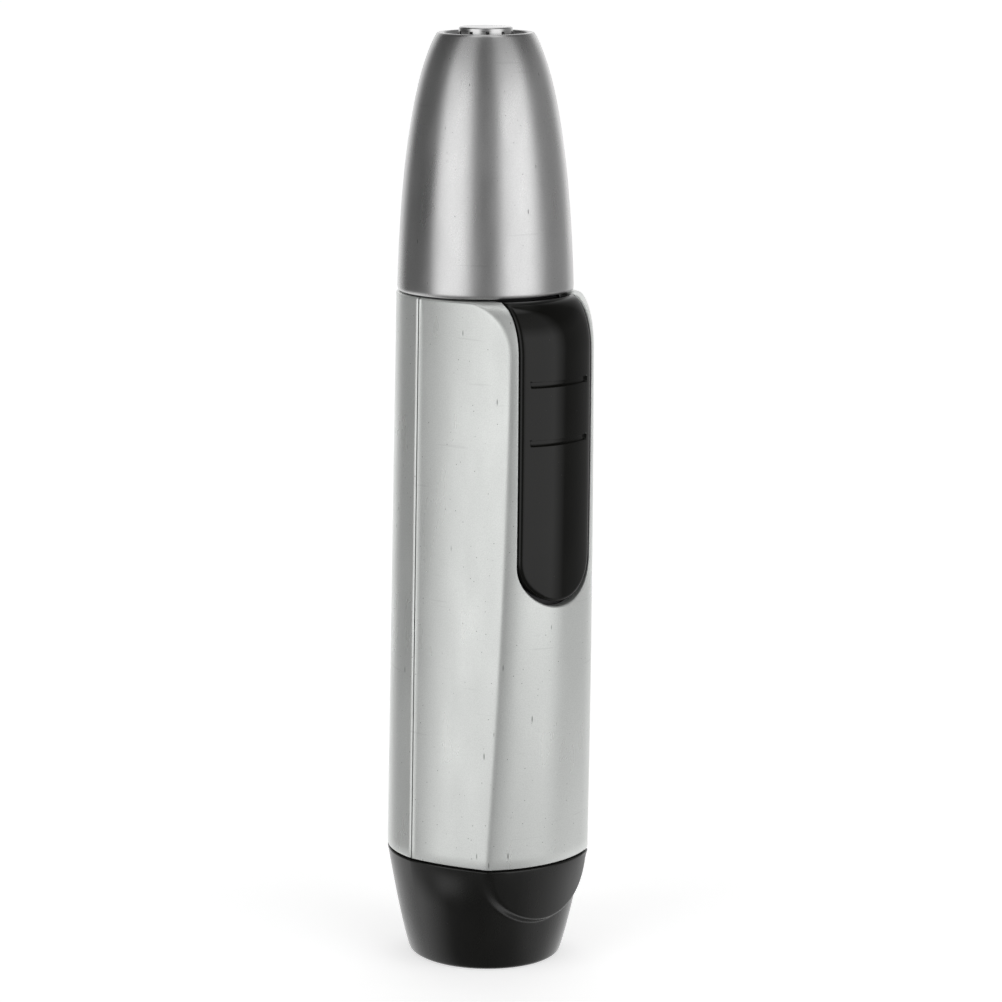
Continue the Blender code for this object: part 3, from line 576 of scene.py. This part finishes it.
def crease_place(height):
    """Where along the side panel the front surface cuts it off."""
    low, high = 0.3, 1.0
    for _ in range(30):
        middle = (low + high) / 2
        x, depth = side_point(height, middle)
        if depth < front_depth(x, height):
            low = middle
        else:
            high = middle
    return low


def front_outline(height, side_steps=26, corner_steps=6, front_steps=44):
    """The front half of the body in plan, from +X to -X, as (x, y), with its creases rounded."""
    end = crease_place(height)
    corner = side_point(height, end)
    length = math.hypot(corner[0] - side_point(height, 0)[0], corner[1])
    start = end * (1 - CREASE_SOFTNESS / length)
    half = [side_point(height, start * step / side_steps) for step in range(side_steps + 1)]
    half[0] = (half[0][0] - SHELL_EDGE * 0.7, PARTING)
    half.insert(1, (side_point(height, 0)[0], PARTING + SHELL_EDGE))
    past = corner[0] - CREASE_SOFTNESS
    corners = (half[-1], corner, (past, front_depth(past, height)))
    for step in range(1, corner_steps + 1):
        t = step / corner_steps
        weights = ((1 - t) ** 2, 2 * t * (1 - t), t * t)
        half.append(tuple(sum(w * p[axis] for w, p in zip(weights, corners)) for axis in (0, 1)))
    front = []
    for step in range(1, front_steps):
        x = past * (1 - 2 * step / front_steps)
        front.append((x, front_depth(x, height)))
    mirrored = [(-x, depth) for x, depth in reversed(half)]
    return [(x, -depth) for x, depth in half + front + mirrored]


def rear_outline(height, steps=72):
    """The rear half of the body in plan, from +X to -X."""
    half_width, depth = (body_size(size, height) for size in (HALF_WIDTH, REAR_DEPTH))
    points = [(half_width - SHELL_EDGE * 0.7, PARTING)]
    for step in range(steps + 1):
        angle = math.pi * step / steps
        across = math.copysign(abs(math.cos(angle)) ** (2 / REAR_POWER), math.cos(angle))
        back = depth * abs(math.sin(angle)) ** (2 / REAR_POWER)
        points.append((half_width * across, max(back, PARTING + SHELL_EDGE)))
    points.append((-half_width + SHELL_EDGE * 0.7, PARTING))
    return points


def pulled_in(outline, distance):
    """An outline moved towards the axis, with its two ends kept at their own y."""
    moved = []
    for index, (x, y) in enumerate(outline):
        if index in (0, len(outline) - 1):
            moved.append((x - math.copysign(distance, x), y))
            continue
        share = 1 - distance / math.hypot(x, y)
        moved.append((x * share, y * share))
    return moved


def on_lip(outline):
    """The points of the lip's round hole that face an outline's points."""
    points = []
    for index, (x, y) in enumerate(outline):
        if index in (0, len(outline) - 1):
            points.append((math.copysign(math.sqrt(LIP_RADIUS**2 - y * y), x), y))
            continue
        angle = math.atan2(y, x)
        points.append((LIP_RADIUS * math.cos(angle), LIP_RADIUS * math.sin(angle)))
    return points


def shell(name, outline_at):
    """One half of the body: a C in plan, with a lip around the neck at the top and rounded edges."""
    heights = [BODY_BOTTOM + SHELL_EDGE * share for share in (0.0, 0.08, 0.3, 0.6)]
    heights += spread(BODY_BOTTOM + SHELL_EDGE, SHOULDER_START, 1.5)
    heights += spread(SHOULDER_START, LIP_BOTTOM, 0.35)[1:]
    heights += [LIP_BOTTOM + 0.05]
    heights += spread(LIP_BOTTOM + 0.3, BODY_TOP - SHELL_TOP_EDGE, 0.3)
    heights += [BODY_TOP - SHELL_TOP_EDGE * share for share in (0.7, 0.4, 0.15, 0.04, 0.0)]
    rings = []
    for height in heights:
        outline = outline_at(height)
        fall = round_over(height - BODY_BOTTOM, SHELL_EDGE) + round_over(BODY_TOP - height, SHELL_TOP_EDGE)
        outer = pulled_in(outline, fall) if fall else outline
        hollow = on_lip(outline) if height > LIP_BOTTOM else pulled_in(outline, WALL)
        rings.append([(x, y, height) for x, y in outer + hollow[::-1]])
    return loft(name, rings)


def slot_outline(spare):
    """The slider's slot seen from the front, as (x, z), widened by spare."""
    middle = SLOT_BOTTOM + SLOT_END_HEIGHT
    width, drop = SLOT_HALF_WIDTH + spare, SLOT_END_HEIGHT + spare
    above = BODY_TOP + 5.0
    right = [(width, height) for height in reversed(spread(middle, above, 1.0)[1:])]
    end = []
    for step in range(49):
        angle = math.pi * step / 48
        end.append((width * math.cos(angle), middle - drop * math.sin(angle)))
    left = [(-width, height) for height in spread(middle, above, 1.0)[1:]]
    return right + end + left


def make_shells():
    front = shell("fine_front_shell", front_outline)
    flare = SLOT_EDGE * (1 - math.cos(math.radians(75)))
    rings = [[(x, -25.0, z) for x, z in slot_outline(flare)]]
    for degrees in (75, 60, 45, 30, 15, 0):
        angle = math.radians(degrees)
        spare, below = SLOT_EDGE * (1 - math.cos(angle)), SLOT_EDGE * (1 - math.sin(angle))
        rings.append([(x, below - front_depth(x, z), z) for x, z in slot_outline(spare)])
    rings.append([(x, -9.0, z) for x, z in slot_outline(0.0)])
    stand_for(carve(front, [loft("slot_tool", rings)]), "front_shell")
    stand_for(shell("fine_rear_shell", rear_outline), "rear_shell")


# ---------------------------------------------------------------- cap, neck and head


def cap_curve(steps):
    """Points up the cap's outside, from its rim to its mouth: a cubic Bezier curve."""
    points = []
    for step in range(steps + 1):
        share = step / steps
        rest = 1 - share
        weights = (rest**3, 3 * rest**2 * share, 3 * rest * share**2, share**3)
        corners = (CAP_RIM, CAP_SIDE, CAP_SHOULDER, CAP_MOUTH)
        points.append(tuple(sum(w * corner[axis] for w, corner in zip(weights, corners)) for axis in (0, 1)))
    return points


def make_cap():
    curve = cap_curve(64)
    outer = [(12.72, CAP_BOTTOM), (12.86, CAP_BOTTOM), (12.98, CAP_BOTTOM + 0.05), (13.05, CAP_BOTTOM + 0.16)]
    outer += curve[1:]
    rim = [(7.12, CAP_TOP - 0.04), (6.98, CAP_TOP), (6.6, CAP_TOP), (6.42, CAP_TOP - 0.04)]
    rim += [(6.31, CAP_TOP - 0.15), (CAP_OPENING, CAP_TOP - 0.35), (CAP_OPENING, 138.0)]
    inner = [(radius - CAP_WALL, height) for radius, height in curve[:0:-1] if height < CAP_INNER_TOP]
    inner += [(inner[-1][0] + 0.14, CAP_BOTTOM)]
    stand_for(turned("fine_protective_cap", outer + rim + inner, 160), "protective_cap")


def make_neck():
    profile = [(NECK_BORE, 91.0), (LIP_RADIUS - GAP, 91.0), (LIP_RADIUS - GAP, 101.75), (11.35, 101.8),
               (11.35, 105.5), (NECK_BORE, 105.5)]
    neck = turned("fine_neck_ring", soften(profile, 0.3))
    spare = math.radians(2.5)
    tools = []
    for number in range(LUG_COUNT):
        middle = 2 * math.pi * number / LUG_COUNT + math.pi / 2
        start = middle - LUG_HALF_ANGLE - spare
        end = middle + HEAD_TWIST + LUG_HALF_ANGLE + spare
        level = sector(NECK_BORE - 0.5, LUG_RADIUS + 0.4, start, end)
        tools.append(prism(f"neck_level_{number}", level, LUG_BOTTOM - GAP, LUG_TOP + GAP))
        entry = sector(NECK_BORE - 0.5, LUG_RADIUS + 0.4, end - 2 * (LUG_HALF_ANGLE + spare), end)
        tools.append(prism(f"neck_entry_{number}", entry, LUG_TOP, 107.0))
    stand_for(carve(neck, tools), "neck_ring")


def make_head():
    rings = [(7.4, 98.8), (COLLAR_RADIUS, 98.8), (COLLAR_RADIUS, 105.5), (7.4, 105.5)]
    collar = turned("fine_head_collar", soften(rings, 0.2))
    lugs = []
    for number in range(LUG_COUNT):
        middle = 2 * math.pi * number / LUG_COUNT + math.pi / 2
        outline = sector(COLLAR_RADIUS - 0.6, LUG_RADIUS, middle - LUG_HALF_ANGLE, middle + LUG_HALF_ANGLE)
        lugs.append(prism(f"lug_{number}", outline, LUG_BOTTOM, LUG_TOP))
    stand_for(carve(collar, lugs, "UNION"), "head_collar")
    cone_profile = ((108.5, 10.4), (111.5, 10.1), (115.0, 9.4), (118.5, 8.3), (121.7, 6.9), (124.0, 5.6))
    flank = [(smooth_value(cone_profile, height, 1), height) for height in spread(108.5, 124.0, 0.5)]
    cone = [(5.7, 103.0), (7.1, 103.0), (7.1, 105.9), (10.2, 105.9), (10.4, 106.1)] + flank
    cone += [(5.25, 124.55), (4.9, 124.85), (4.6, 125.0), (CUTTER_RADIUS + GAP, 125.0),
             (CUTTER_RADIUS + GAP, 121.4), (5.7, 121.4)]
    stand_for(turned("fine_head_cone", cone), "head_cone")
    inside = CUTTER_RADIUS - CUTTER_WALL
    tube_profile = [(inside, 120.0), (5.3, 120.0), (5.3, 121.0), (CUTTER_RADIUS, 121.0),
                    (CUTTER_RADIUS, CUTTER_TOP), (0, CUTTER_TOP), (0, CUTTER_TOP - CUTTER_LID),
                    (inside, CUTTER_TOP - CUTTER_LID)]
    tube = turned("fine_cutter_tube", soften(tube_profile, 0.28), 12 * CUTTER_SLOTS)
    slots = []
    for number in range(CUTTER_SLOTS):
        low = (2.2, -CUTTER_SLOT_WIDTH / 2, CUTTER_SLOT_BOTTOM)
        slot = block(f"cutter_slot_{number}", low, (5.0, CUTTER_SLOT_WIDTH / 2, CUTTER_SLOT_TOP))
        slot.rotation_euler.z = 2 * math.pi * (number + 0.5) / CUTTER_SLOTS
        slots.append(slot)
    stand_for(carve(tube, slots), "cutter_tube", math.radians(30.0))


def make_blade():
    bore = 2.0
    profile = [(bore, 125.0), (2.9, 125.0), (3.35, 126.0), (3.35, 139.1), (0, 139.1), (0, 132.4),
               (bore, 132.4)]
    blade = turned("fine_rotary_blade", soften(profile, 0.1), 96)
    tools = []
    for number in range(4):
        tool = block(f"blade_notch_{number}", (2.3, -1.1, 129.0), (5.0, 1.1, 141.0))
        tool.rotation_euler.z = math.pi / 2 * number + math.pi / 4
        tools.append(tool)
    stand_for(carve(blade, tools), "rotary_blade", math.radians(30.0))
    ends = ((SPRING_RADIUS, SPRING_LOW), (SPRING_RADIUS, SPRING_HIGH))
    spring = coil("fine_blade_spring", *ends, SPRING_TURNS, SPRING_WIRE)
    stand_for(spring, "blade_spring")
    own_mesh(spring)


# ---------------------------------------------------------------- slider


def slider_half_width(height):
    middle = SLIDER_BOTTOM + SLOT_END_HEIGHT
    if height >= middle:
        return SLIDER_HALF_WIDTH
    return SLIDER_HALF_WIDTH * math.sqrt(1 - ((middle - height) / SLOT_END_HEIGHT) ** 2)


def slider_edge_distance(x, height):
    """How far a point of the slider's face is from its nearest edge."""
    middle = SLIDER_BOTTOM + SLOT_END_HEIGHT
    side = SLIDER_HALF_WIDTH - abs(x)
    if height < middle:
        side = (1 - math.hypot(x / SLIDER_HALF_WIDTH, (middle - height) / SLOT_END_HEIGHT)) * SLOT_END_HEIGHT
    return min(side, BODY_TOP - height)


def notch_depth(x, height):
    """A finger notch: a sloping lower wall, a flat floor and a steep top wall."""
    for low in NOTCH_BOTTOMS:
        above = height - low
        if 0 <= above <= NOTCH_HEIGHT:
            wall = smooth_step(above / NOTCH_WALL)
            lip = smooth_step((NOTCH_HEIGHT - above) / NOTCH_LIP)
            return NOTCH_DEPTH * wall * lip * smooth_step((NOTCH_HALF_WIDTH - abs(x)) / 0.3)
    return 0.0


def make_slider():
    fine = (0.02, 0.06, 0.12, 0.2, 0.3, 0.42, 0.6, 0.85)
    heights = [SLIDER_BOTTOM + rise for rise in fine]
    heights += spread(SLIDER_BOTTOM + 1.2, BODY_TOP - 0.6, 0.45)
    heights += [BODY_TOP - rise for rise in (0.42, 0.3, 0.2, 0.12, 0.05, 0.0)]
    for low in NOTCH_BOTTOMS:
        heights = [height for height in heights if not low - 0.2 < height < low + NOTCH_HEIGHT + 0.2]
        heights += [low + rise for rise in NOTCH_RISES]
    in_from_edge = (0.0, 0.03, 0.08, 0.15, 0.24, 0.34, 0.44, 0.7, 1.0, 1.15, 1.3, 1.45, 1.6)
    rings = []
    for height in sorted(heights):
        width = slider_half_width(height)
        scale = min(1.0, width / 2.4)
        half = [width - step * scale for step in in_from_edge]
        across = [half[-1] * (1 - 2 * step / 24) for step in range(1, 24)]
        xs = half + across + [-x for x in reversed(half)]
        face = []
        for x in xs:
            edge = round_over(slider_edge_distance(x, height), SLIDER_EDGE)
            face.append(front_depth(x, height) - SLIDER_SETBACK - edge - notch_depth(x, height))
        back = []
        for x, depth in zip(xs, face):
            behind = front_depth(x, height) - SLIDER_SETBACK - SLIDER_THICKNESS
            behind = max(behind, math.sqrt(SLIDER_LIP_RADIUS**2 - x * x))
            back.append(min(behind, depth - 0.1))
        ring = [(x, -depth, height) for x, depth in zip(xs, face)]
        ring += [(x, -depth, height) for x, depth in reversed(list(zip(xs, back)))]
        rings.append(ring)
    slider = loft("fine_thumb_slider", rings)
    stem_low = (-STEM_HALF_WIDTH, -17.0, STEM_BOTTOM)
    stem = block("slider_stem", stem_low, (STEM_HALF_WIDTH, -12.4, STEM_TOP))
    stand_for(carve(slider, [stem], "UNION"), "thumb_slider", math.radians(50.0))


# ---------------------------------------------------------------- base


def tongue_distance(x, height):
    """How far inside the tongue's outline a point of the base is, seen from the front."""
    side = TONGUE_HALF_WIDTH - abs(x)
    if height >= TONGUE_SHOULDER:
        return side
    across = abs(x) / TONGUE_HALF_WIDTH
    drop = (TONGUE_SHOULDER - height) / (TONGUE_SHOULDER - TONGUE_TIP)
    inside = 1 - across**TONGUE_POWER - drop**TONGUE_POWER
    steep_x = TONGUE_POWER * across ** (TONGUE_POWER - 1) / TONGUE_HALF_WIDTH
    steep_z = TONGUE_POWER * drop ** (TONGUE_POWER - 1) / (TONGUE_SHOULDER - TONGUE_TIP)
    return inside / max(math.hypot(steep_x, steep_z), 0.02)


def tongue_depth(x, height):
    rise = body_size(FRONT_DEPTH, BODY_BOTTOM) - body_size(CREASE_DEPTH, BODY_BOTTOM)
    radius = (TONGUE_HALF_WIDTH**2 + rise**2) / (2 * rise)
    share = min(max((height - TONGUE_TIP) / (BASE_TOP - TONGUE_TIP), 0.0), 1.0)
    middle = TONGUE_DEPTH_TIP + (TONGUE_DEPTH_TOP - TONGUE_DEPTH_TIP) * (1 - (1 - share) ** TONGUE_CURVE)
    return middle - (radius - math.sqrt(max(radius**2 - x * x, 0.0)))


def base_outline():
    """The body's whole outline at its seam, without the parting gap."""
    half_width, depth = (body_size(size, BODY_BOTTOM) for size in (HALF_WIDTH, REAR_DEPTH))
    rear = []
    for step in range(181):
        angle = math.pi * step / 180
        across = math.copysign(abs(math.cos(angle)) ** (2 / REAR_POWER), math.cos(angle))
        rear.append((half_width * across, depth * abs(math.sin(angle)) ** (2 / REAR_POWER)))
    front = front_outline(BODY_BOTTOM, 30, 6, 90)
    return rear + [point for point in front[::-1] if point[1] < -2 * PARTING - SHELL_EDGE]


def oval_point(angle, half_width, depth):
    """The point of a squarish oval in the direction of an angle."""
    across, deep = abs(math.cos(angle)) / half_width, abs(math.sin(angle)) / depth
    reach = (across**BASE_ROUND_POWER + deep**BASE_ROUND_POWER) ** (-1 / BASE_ROUND_POWER)
    return reach * math.cos(angle), reach * math.sin(angle)


def base_ring(outline, height):
    """The outside of the base: the body's outline at the seam, an oval at the foot, and the tongue."""
    share = 1 - (height / BASE_TOP) ** BASE_TAPER_POWER
    creased = smooth_step((height - CREASE_FADE_START) / (BASE_TOP - CREASE_FADE_START))
    fall = round_over(height, FOOT_EDGE) + round_over(BASE_TOP - height, BASE_TOP_EDGE)
    ring = []
    for x, y in outline:
        angle = math.atan2(y, x)
        start = (x, max(y, -BASE_FRONT_TOP))
        if y < 0:
            plain = oval_point(angle, body_size(HALF_WIDTH, BODY_BOTTOM), BASE_FRONT_TOP)
            start = tuple(a * creased + b * (1 - creased) for a, b in zip(start, plain))
        foot_depth = FOOT_REAR if y > 0 else FOOT_FRONT
        foot = (FOOT_HALF_WIDTH * math.cos(angle), foot_depth * math.sin(angle))
        across, deep = (a * (1 - share) + b * share for a, b in zip(start, foot))
        if deep < 0:
            inside = smooth_step(tongue_distance(across, height) / TONGUE_EDGE)
            deep += inside * min(-tongue_depth(across, height) - deep, 0.0)
        scale = 1 - fall / math.hypot(across, deep)
        ring.append((across * scale, deep * scale, height))
    return ring


def make_base():
    outline = base_outline()
    heights = [FOOT_EDGE * (1 - math.cos(math.radians(degrees))) for degrees in range(0, 91, 15)]
    heights += spread(FOOT_EDGE, TONGUE_TIP - 0.6, 0.5)[1:]
    heights += spread(TONGUE_TIP - 0.6, BASE_TOP - BASE_TOP_EDGE, 0.16)[1:]
    heights += [BASE_TOP - BASE_TOP_EDGE * share for share in (0.5, 0.15, 0.0)]
    outer = [base_ring(outline, height) for height in heights]
    foot = outer[0]

    def scaled_foot(share, height):
        return [(x * share, y * share, height) for x, y, _ in foot]

    def circle(radius, height):
        turns = [math.atan2(y, x) for x, y in outline]
        return [(radius * math.cos(angle), radius * math.sin(angle), height) for angle in turns]

    recess = [scaled_foot(0.03, FOOT_RECESS), scaled_foot(0.80, FOOT_RECESS), scaled_foot(0.83, 0.02),
              scaled_foot(0.85, 0.0)]
    pocket = [circle(PLUG_POCKET_RADIUS + 0.15, BASE_TOP), circle(PLUG_POCKET_RADIUS, BASE_TOP - 0.15),
              circle(PLUG_POCKET_RADIUS, PLUG_POCKET_BOTTOM), circle(CELL_POCKET_RADIUS, PLUG_POCKET_BOTTOM),
              circle(CELL_POCKET_RADIUS, BASE_FLOOR), circle(0.3, BASE_FLOOR)]
    stand_for(loft("fine_base_cap", recess + outer + pocket), "base_cap")


def make_plug():
    outer = PLUG_POCKET_RADIUS - GAP
    low = PLUG_POCKET_BOTTOM + GAP
    profile = [(CELL_POCKET_RADIUS, low), (outer, low), (outer, GROOVE_LOW), (GROOVE_RADIUS, GROOVE_LOW),
               (GROOVE_RADIUS, GROOVE_HIGH), (outer, GROOVE_HIGH), (outer - 0.1, PLUG_TOP),
               (CELL_POCKET_RADIUS, PLUG_TOP)]
    stand_for(turned("fine_base_plug", soften(profile, 0.22)), "base_plug")
    ring = []
    for step in range(20):
        angle = 2 * math.pi * step / 20
        ring.append((SEAL_RADIUS + SEAL_WIRE * math.cos(angle), SEAL_HEIGHT + SEAL_WIRE * math.sin(angle)))
    stand_for(turned("fine_seal_ring", ring), "seal_ring")
    stand_for(coil("fine_negative_spring", (5.6, 3.95), (3.0, 7.25), 3, 0.42), "negative_spring")


def make_cell():
    can = [(0, 8.6), (6.6, 8.6), (7.25, 8.9), (7.25, 56.3), (6.6, 56.9), (0, 56.9)]
    stand_for(turned("fine_battery_can", soften(can, 0.3)), "battery_can")
    plate = [(0, 8.0), (5.6, 8.0), (5.6, 8.3), (0, 8.3)]
    stand_for(turned("fine_battery_negative_plate", soften(plate, 0.1)), "battery_negative_plate")
    cap = [(0, 57.2), (5.2, 57.2), (5.2, 57.5), (2.75, 57.5), (2.75, 58.5), (0, 58.5)]
    stand_for(turned("fine_battery_positive_cap", soften(cap, 0.25)), "battery_positive_cap")
    tube = [(9.75, 17.1), (11.0, 17.1), (11.0, 24.5), (9.3, 25.5), (9.3, 60.8), (3.2, 60.8), (3.2, 59.8),
            (7.75, 59.8), (7.75, 24.0), (9.75, 23.2)]
    stand_for(turned("fine_battery_tube", soften(tube, 0.25)), "battery_tube")


# ---------------------------------------------------------------- floor, light and camera

CAMERA_AZIMUTH = math.radians(-39.7)
CAMERA_DISTANCE = 0.543
CAMERA_HEIGHT = 0.174
CAMERA_PITCH = math.radians(10.88)
CAMERA_YAW = math.radians(0.23)
CAMERA_ROLL = math.radians(-0.09)
CAMERA_LENS = 132.6
FLOOR_REACH = 12.0

# The studio around the object. Brightness by angle around it, from the camera's side at 0 to its right:
# two soft boxes beside the camera, dark flats beyond them, and a white wall behind.
STUDIO_AROUND = (
    (-180, 0.85), (-155, 0.75), (-130, 0.08), (-78, 0.05), (-64, 1.0), (-28, 1.0), (-14, 0.12), (14, 0.12),
    (28, 1.0), (66, 1.0), (84, 0.16), (128, 0.22), (155, 0.75), (180, 0.85),
)
# The pale floor around the object, dim on the camera's side and bright at the sides and behind.
FLOOR_AROUND = (
    (-180, 0.9), (-100, 0.7), (-60, 0.12), (0, 0.08), (50, 0.15), (80, 0.45), (120, 0.8), (180, 0.9),
)
FLOOR_DOWN = ((-1.0, 0.8), (-0.42, 1.0), (-0.24, 0.0), (1.0, 0.0))
# Brightness by the height looked at, as the sine of its angle: bright middle, dim above, a top light.
STUDIO_UP = (
    (-1.0, 0.0), (-0.42, 0.0), (-0.24, 1.0), (0.25, 1.0), (0.5, 0.45), (0.85, 0.3), (0.93, 1.0), (1.0, 1.0),
)
STUDIO_STRENGTH = 1.5


def make_floor():
    shape = bmesh.new()
    bmesh.ops.create_grid(shape, x_segments=8, y_segments=8, size=FLOOR_REACH)
    mesh = bpy.data.meshes.new("floor")
    shape.to_mesh(mesh)
    shape.free()
    floor = bpy.data.objects.new("floor", mesh)
    floor.location.z = -0.00005
    bpy.context.scene.collection.objects.link(floor)
    pale = bpy.data.materials.new("pale_floor")
    pale.use_nodes = True
    shader = pale.node_tree.nodes["Principled BSDF"]
    shader.inputs["Base Color"].default_value = (0.9, 0.9, 0.9, 1.0)
    shader.inputs["Roughness"].default_value = 0.8
    shader.inputs["Specular IOR Level"].default_value = 0.0
    shader.inputs["Emission Color"].default_value = (1.0, 1.0, 1.0, 1.0)
    shader.inputs["Emission Strength"].default_value = 0.62
    mesh.materials.append(pale)
    # The studio's own light from below stands for the floor's bounce.
    floor.visible_glossy = False
    floor.visible_diffuse = False
    floor.visible_shadow = False


def make_studio():
    world = bpy.data.worlds.new("studio")
    bpy.context.scene.world = world
    world.use_nodes = True
    tree = world.node_tree
    tree.nodes.clear()

    def node(kind, **settings):
        made = tree.nodes.new(kind)
        for key, value in settings.items():
            setattr(made, key, value)
        return made

    def maths(operation, first, second):
        made = node("ShaderNodeMath", operation=operation)
        for socket, value in zip(made.inputs, (first, second)):
            if isinstance(value, (int, float)):
                socket.default_value = value
            else:
                tree.links.new(value, socket)
        return made.outputs["Value"]

    way = node("ShaderNodeTexCoord")
    apart = node("ShaderNodeSeparateXYZ")
    tree.links.new(way.outputs["Generated"], apart.inputs["Vector"])

    def ramp(value, levels, low, high):
        """A brightness that runs through (place, level) pairs, as value goes from low to high."""
        made = node("ShaderNodeValToRGB")
        stops = made.color_ramp.elements
        while len(stops) < len(levels):
            stops.new(0.5)
        for stop, (place, level) in zip(stops, levels):
            stop.position = (place - low) / (high - low)
            stop.color = (level, level, level, 1.0)
        tree.links.new(maths("DIVIDE", maths("SUBTRACT", value, low), high - low), made.inputs["Fac"])
        return made.outputs["Color"]

    toward = (math.sin(CAMERA_AZIMUTH), -math.cos(CAMERA_AZIMUTH))
    right = (math.cos(CAMERA_AZIMUTH), math.sin(CAMERA_AZIMUTH))
    x, y, z = (apart.outputs[axis] for axis in "XYZ")
    along, across = (
        maths("ADD", maths("MULTIPLY", x, way_x), maths("MULTIPLY", y, way_y))
        for way_x, way_y in (toward, right)
    )
    angle = maths("MULTIPLY", maths("ARCTAN2", across, along), 180 / math.pi)
    around = ramp(angle, STUDIO_AROUND, -180, 180)
    upward = ramp(z, STUDIO_UP, -1.0, 1.0)
    floor = maths("MULTIPLY", ramp(angle, FLOOR_AROUND, -180, 180), ramp(z, FLOOR_DOWN, -1.0, 1.0))
    level = maths("ADD", maths("MULTIPLY", around, upward), floor)
    light = node("ShaderNodeBackground")
    light.inputs["Strength"].default_value = STUDIO_STRENGTH
    tree.links.new(level, light.inputs["Color"])
    white = node("ShaderNodeBackground")
    rays = node("ShaderNodeLightPath")
    mix = node("ShaderNodeMixShader")
    output = node("ShaderNodeOutputWorld")
    tree.links.new(rays.outputs["Is Camera Ray"], mix.inputs["Fac"])
    tree.links.new(light.outputs["Background"], mix.inputs[1])
    white.inputs["Color"].default_value = (1.0, 1.0, 1.0, 1.0)
    tree.links.new(white.outputs["Background"], mix.inputs[2])
    tree.links.new(mix.outputs["Shader"], output.inputs["Surface"])


def make_camera():
    camera = bpy.data.objects.new("camera", bpy.data.cameras.new("camera"))
    bpy.context.scene.collection.objects.link(camera)
    camera.data.lens = CAMERA_LENS
    camera.data.sensor_width = 36.0
    camera.data.clip_start = 0.01
    camera.location = (
        CAMERA_DISTANCE * math.sin(CAMERA_AZIMUTH),
        -CAMERA_DISTANCE * math.cos(CAMERA_AZIMUTH),
        CAMERA_HEIGHT,
    )
    camera.rotation_euler = (math.pi / 2 - CAMERA_PITCH, CAMERA_ROLL, CAMERA_AZIMUTH - CAMERA_YAW)
    bpy.context.scene.camera = camera


def main():
    make_camera()
    make_studio()
    make_floor()
    make_shells()
    make_cap()
    make_neck()
    make_head()
    make_blade()
    make_slider()
    make_base()
    make_plug()
    make_cell()
    for name, item in frame["nodes"].items():
        if name not in replaced_nodes:
            item.material_slots[0].material = MATERIALS[SLOT_OF[name]]
    bpy.context.scene.view_settings.view_transform = "Standard"


main()
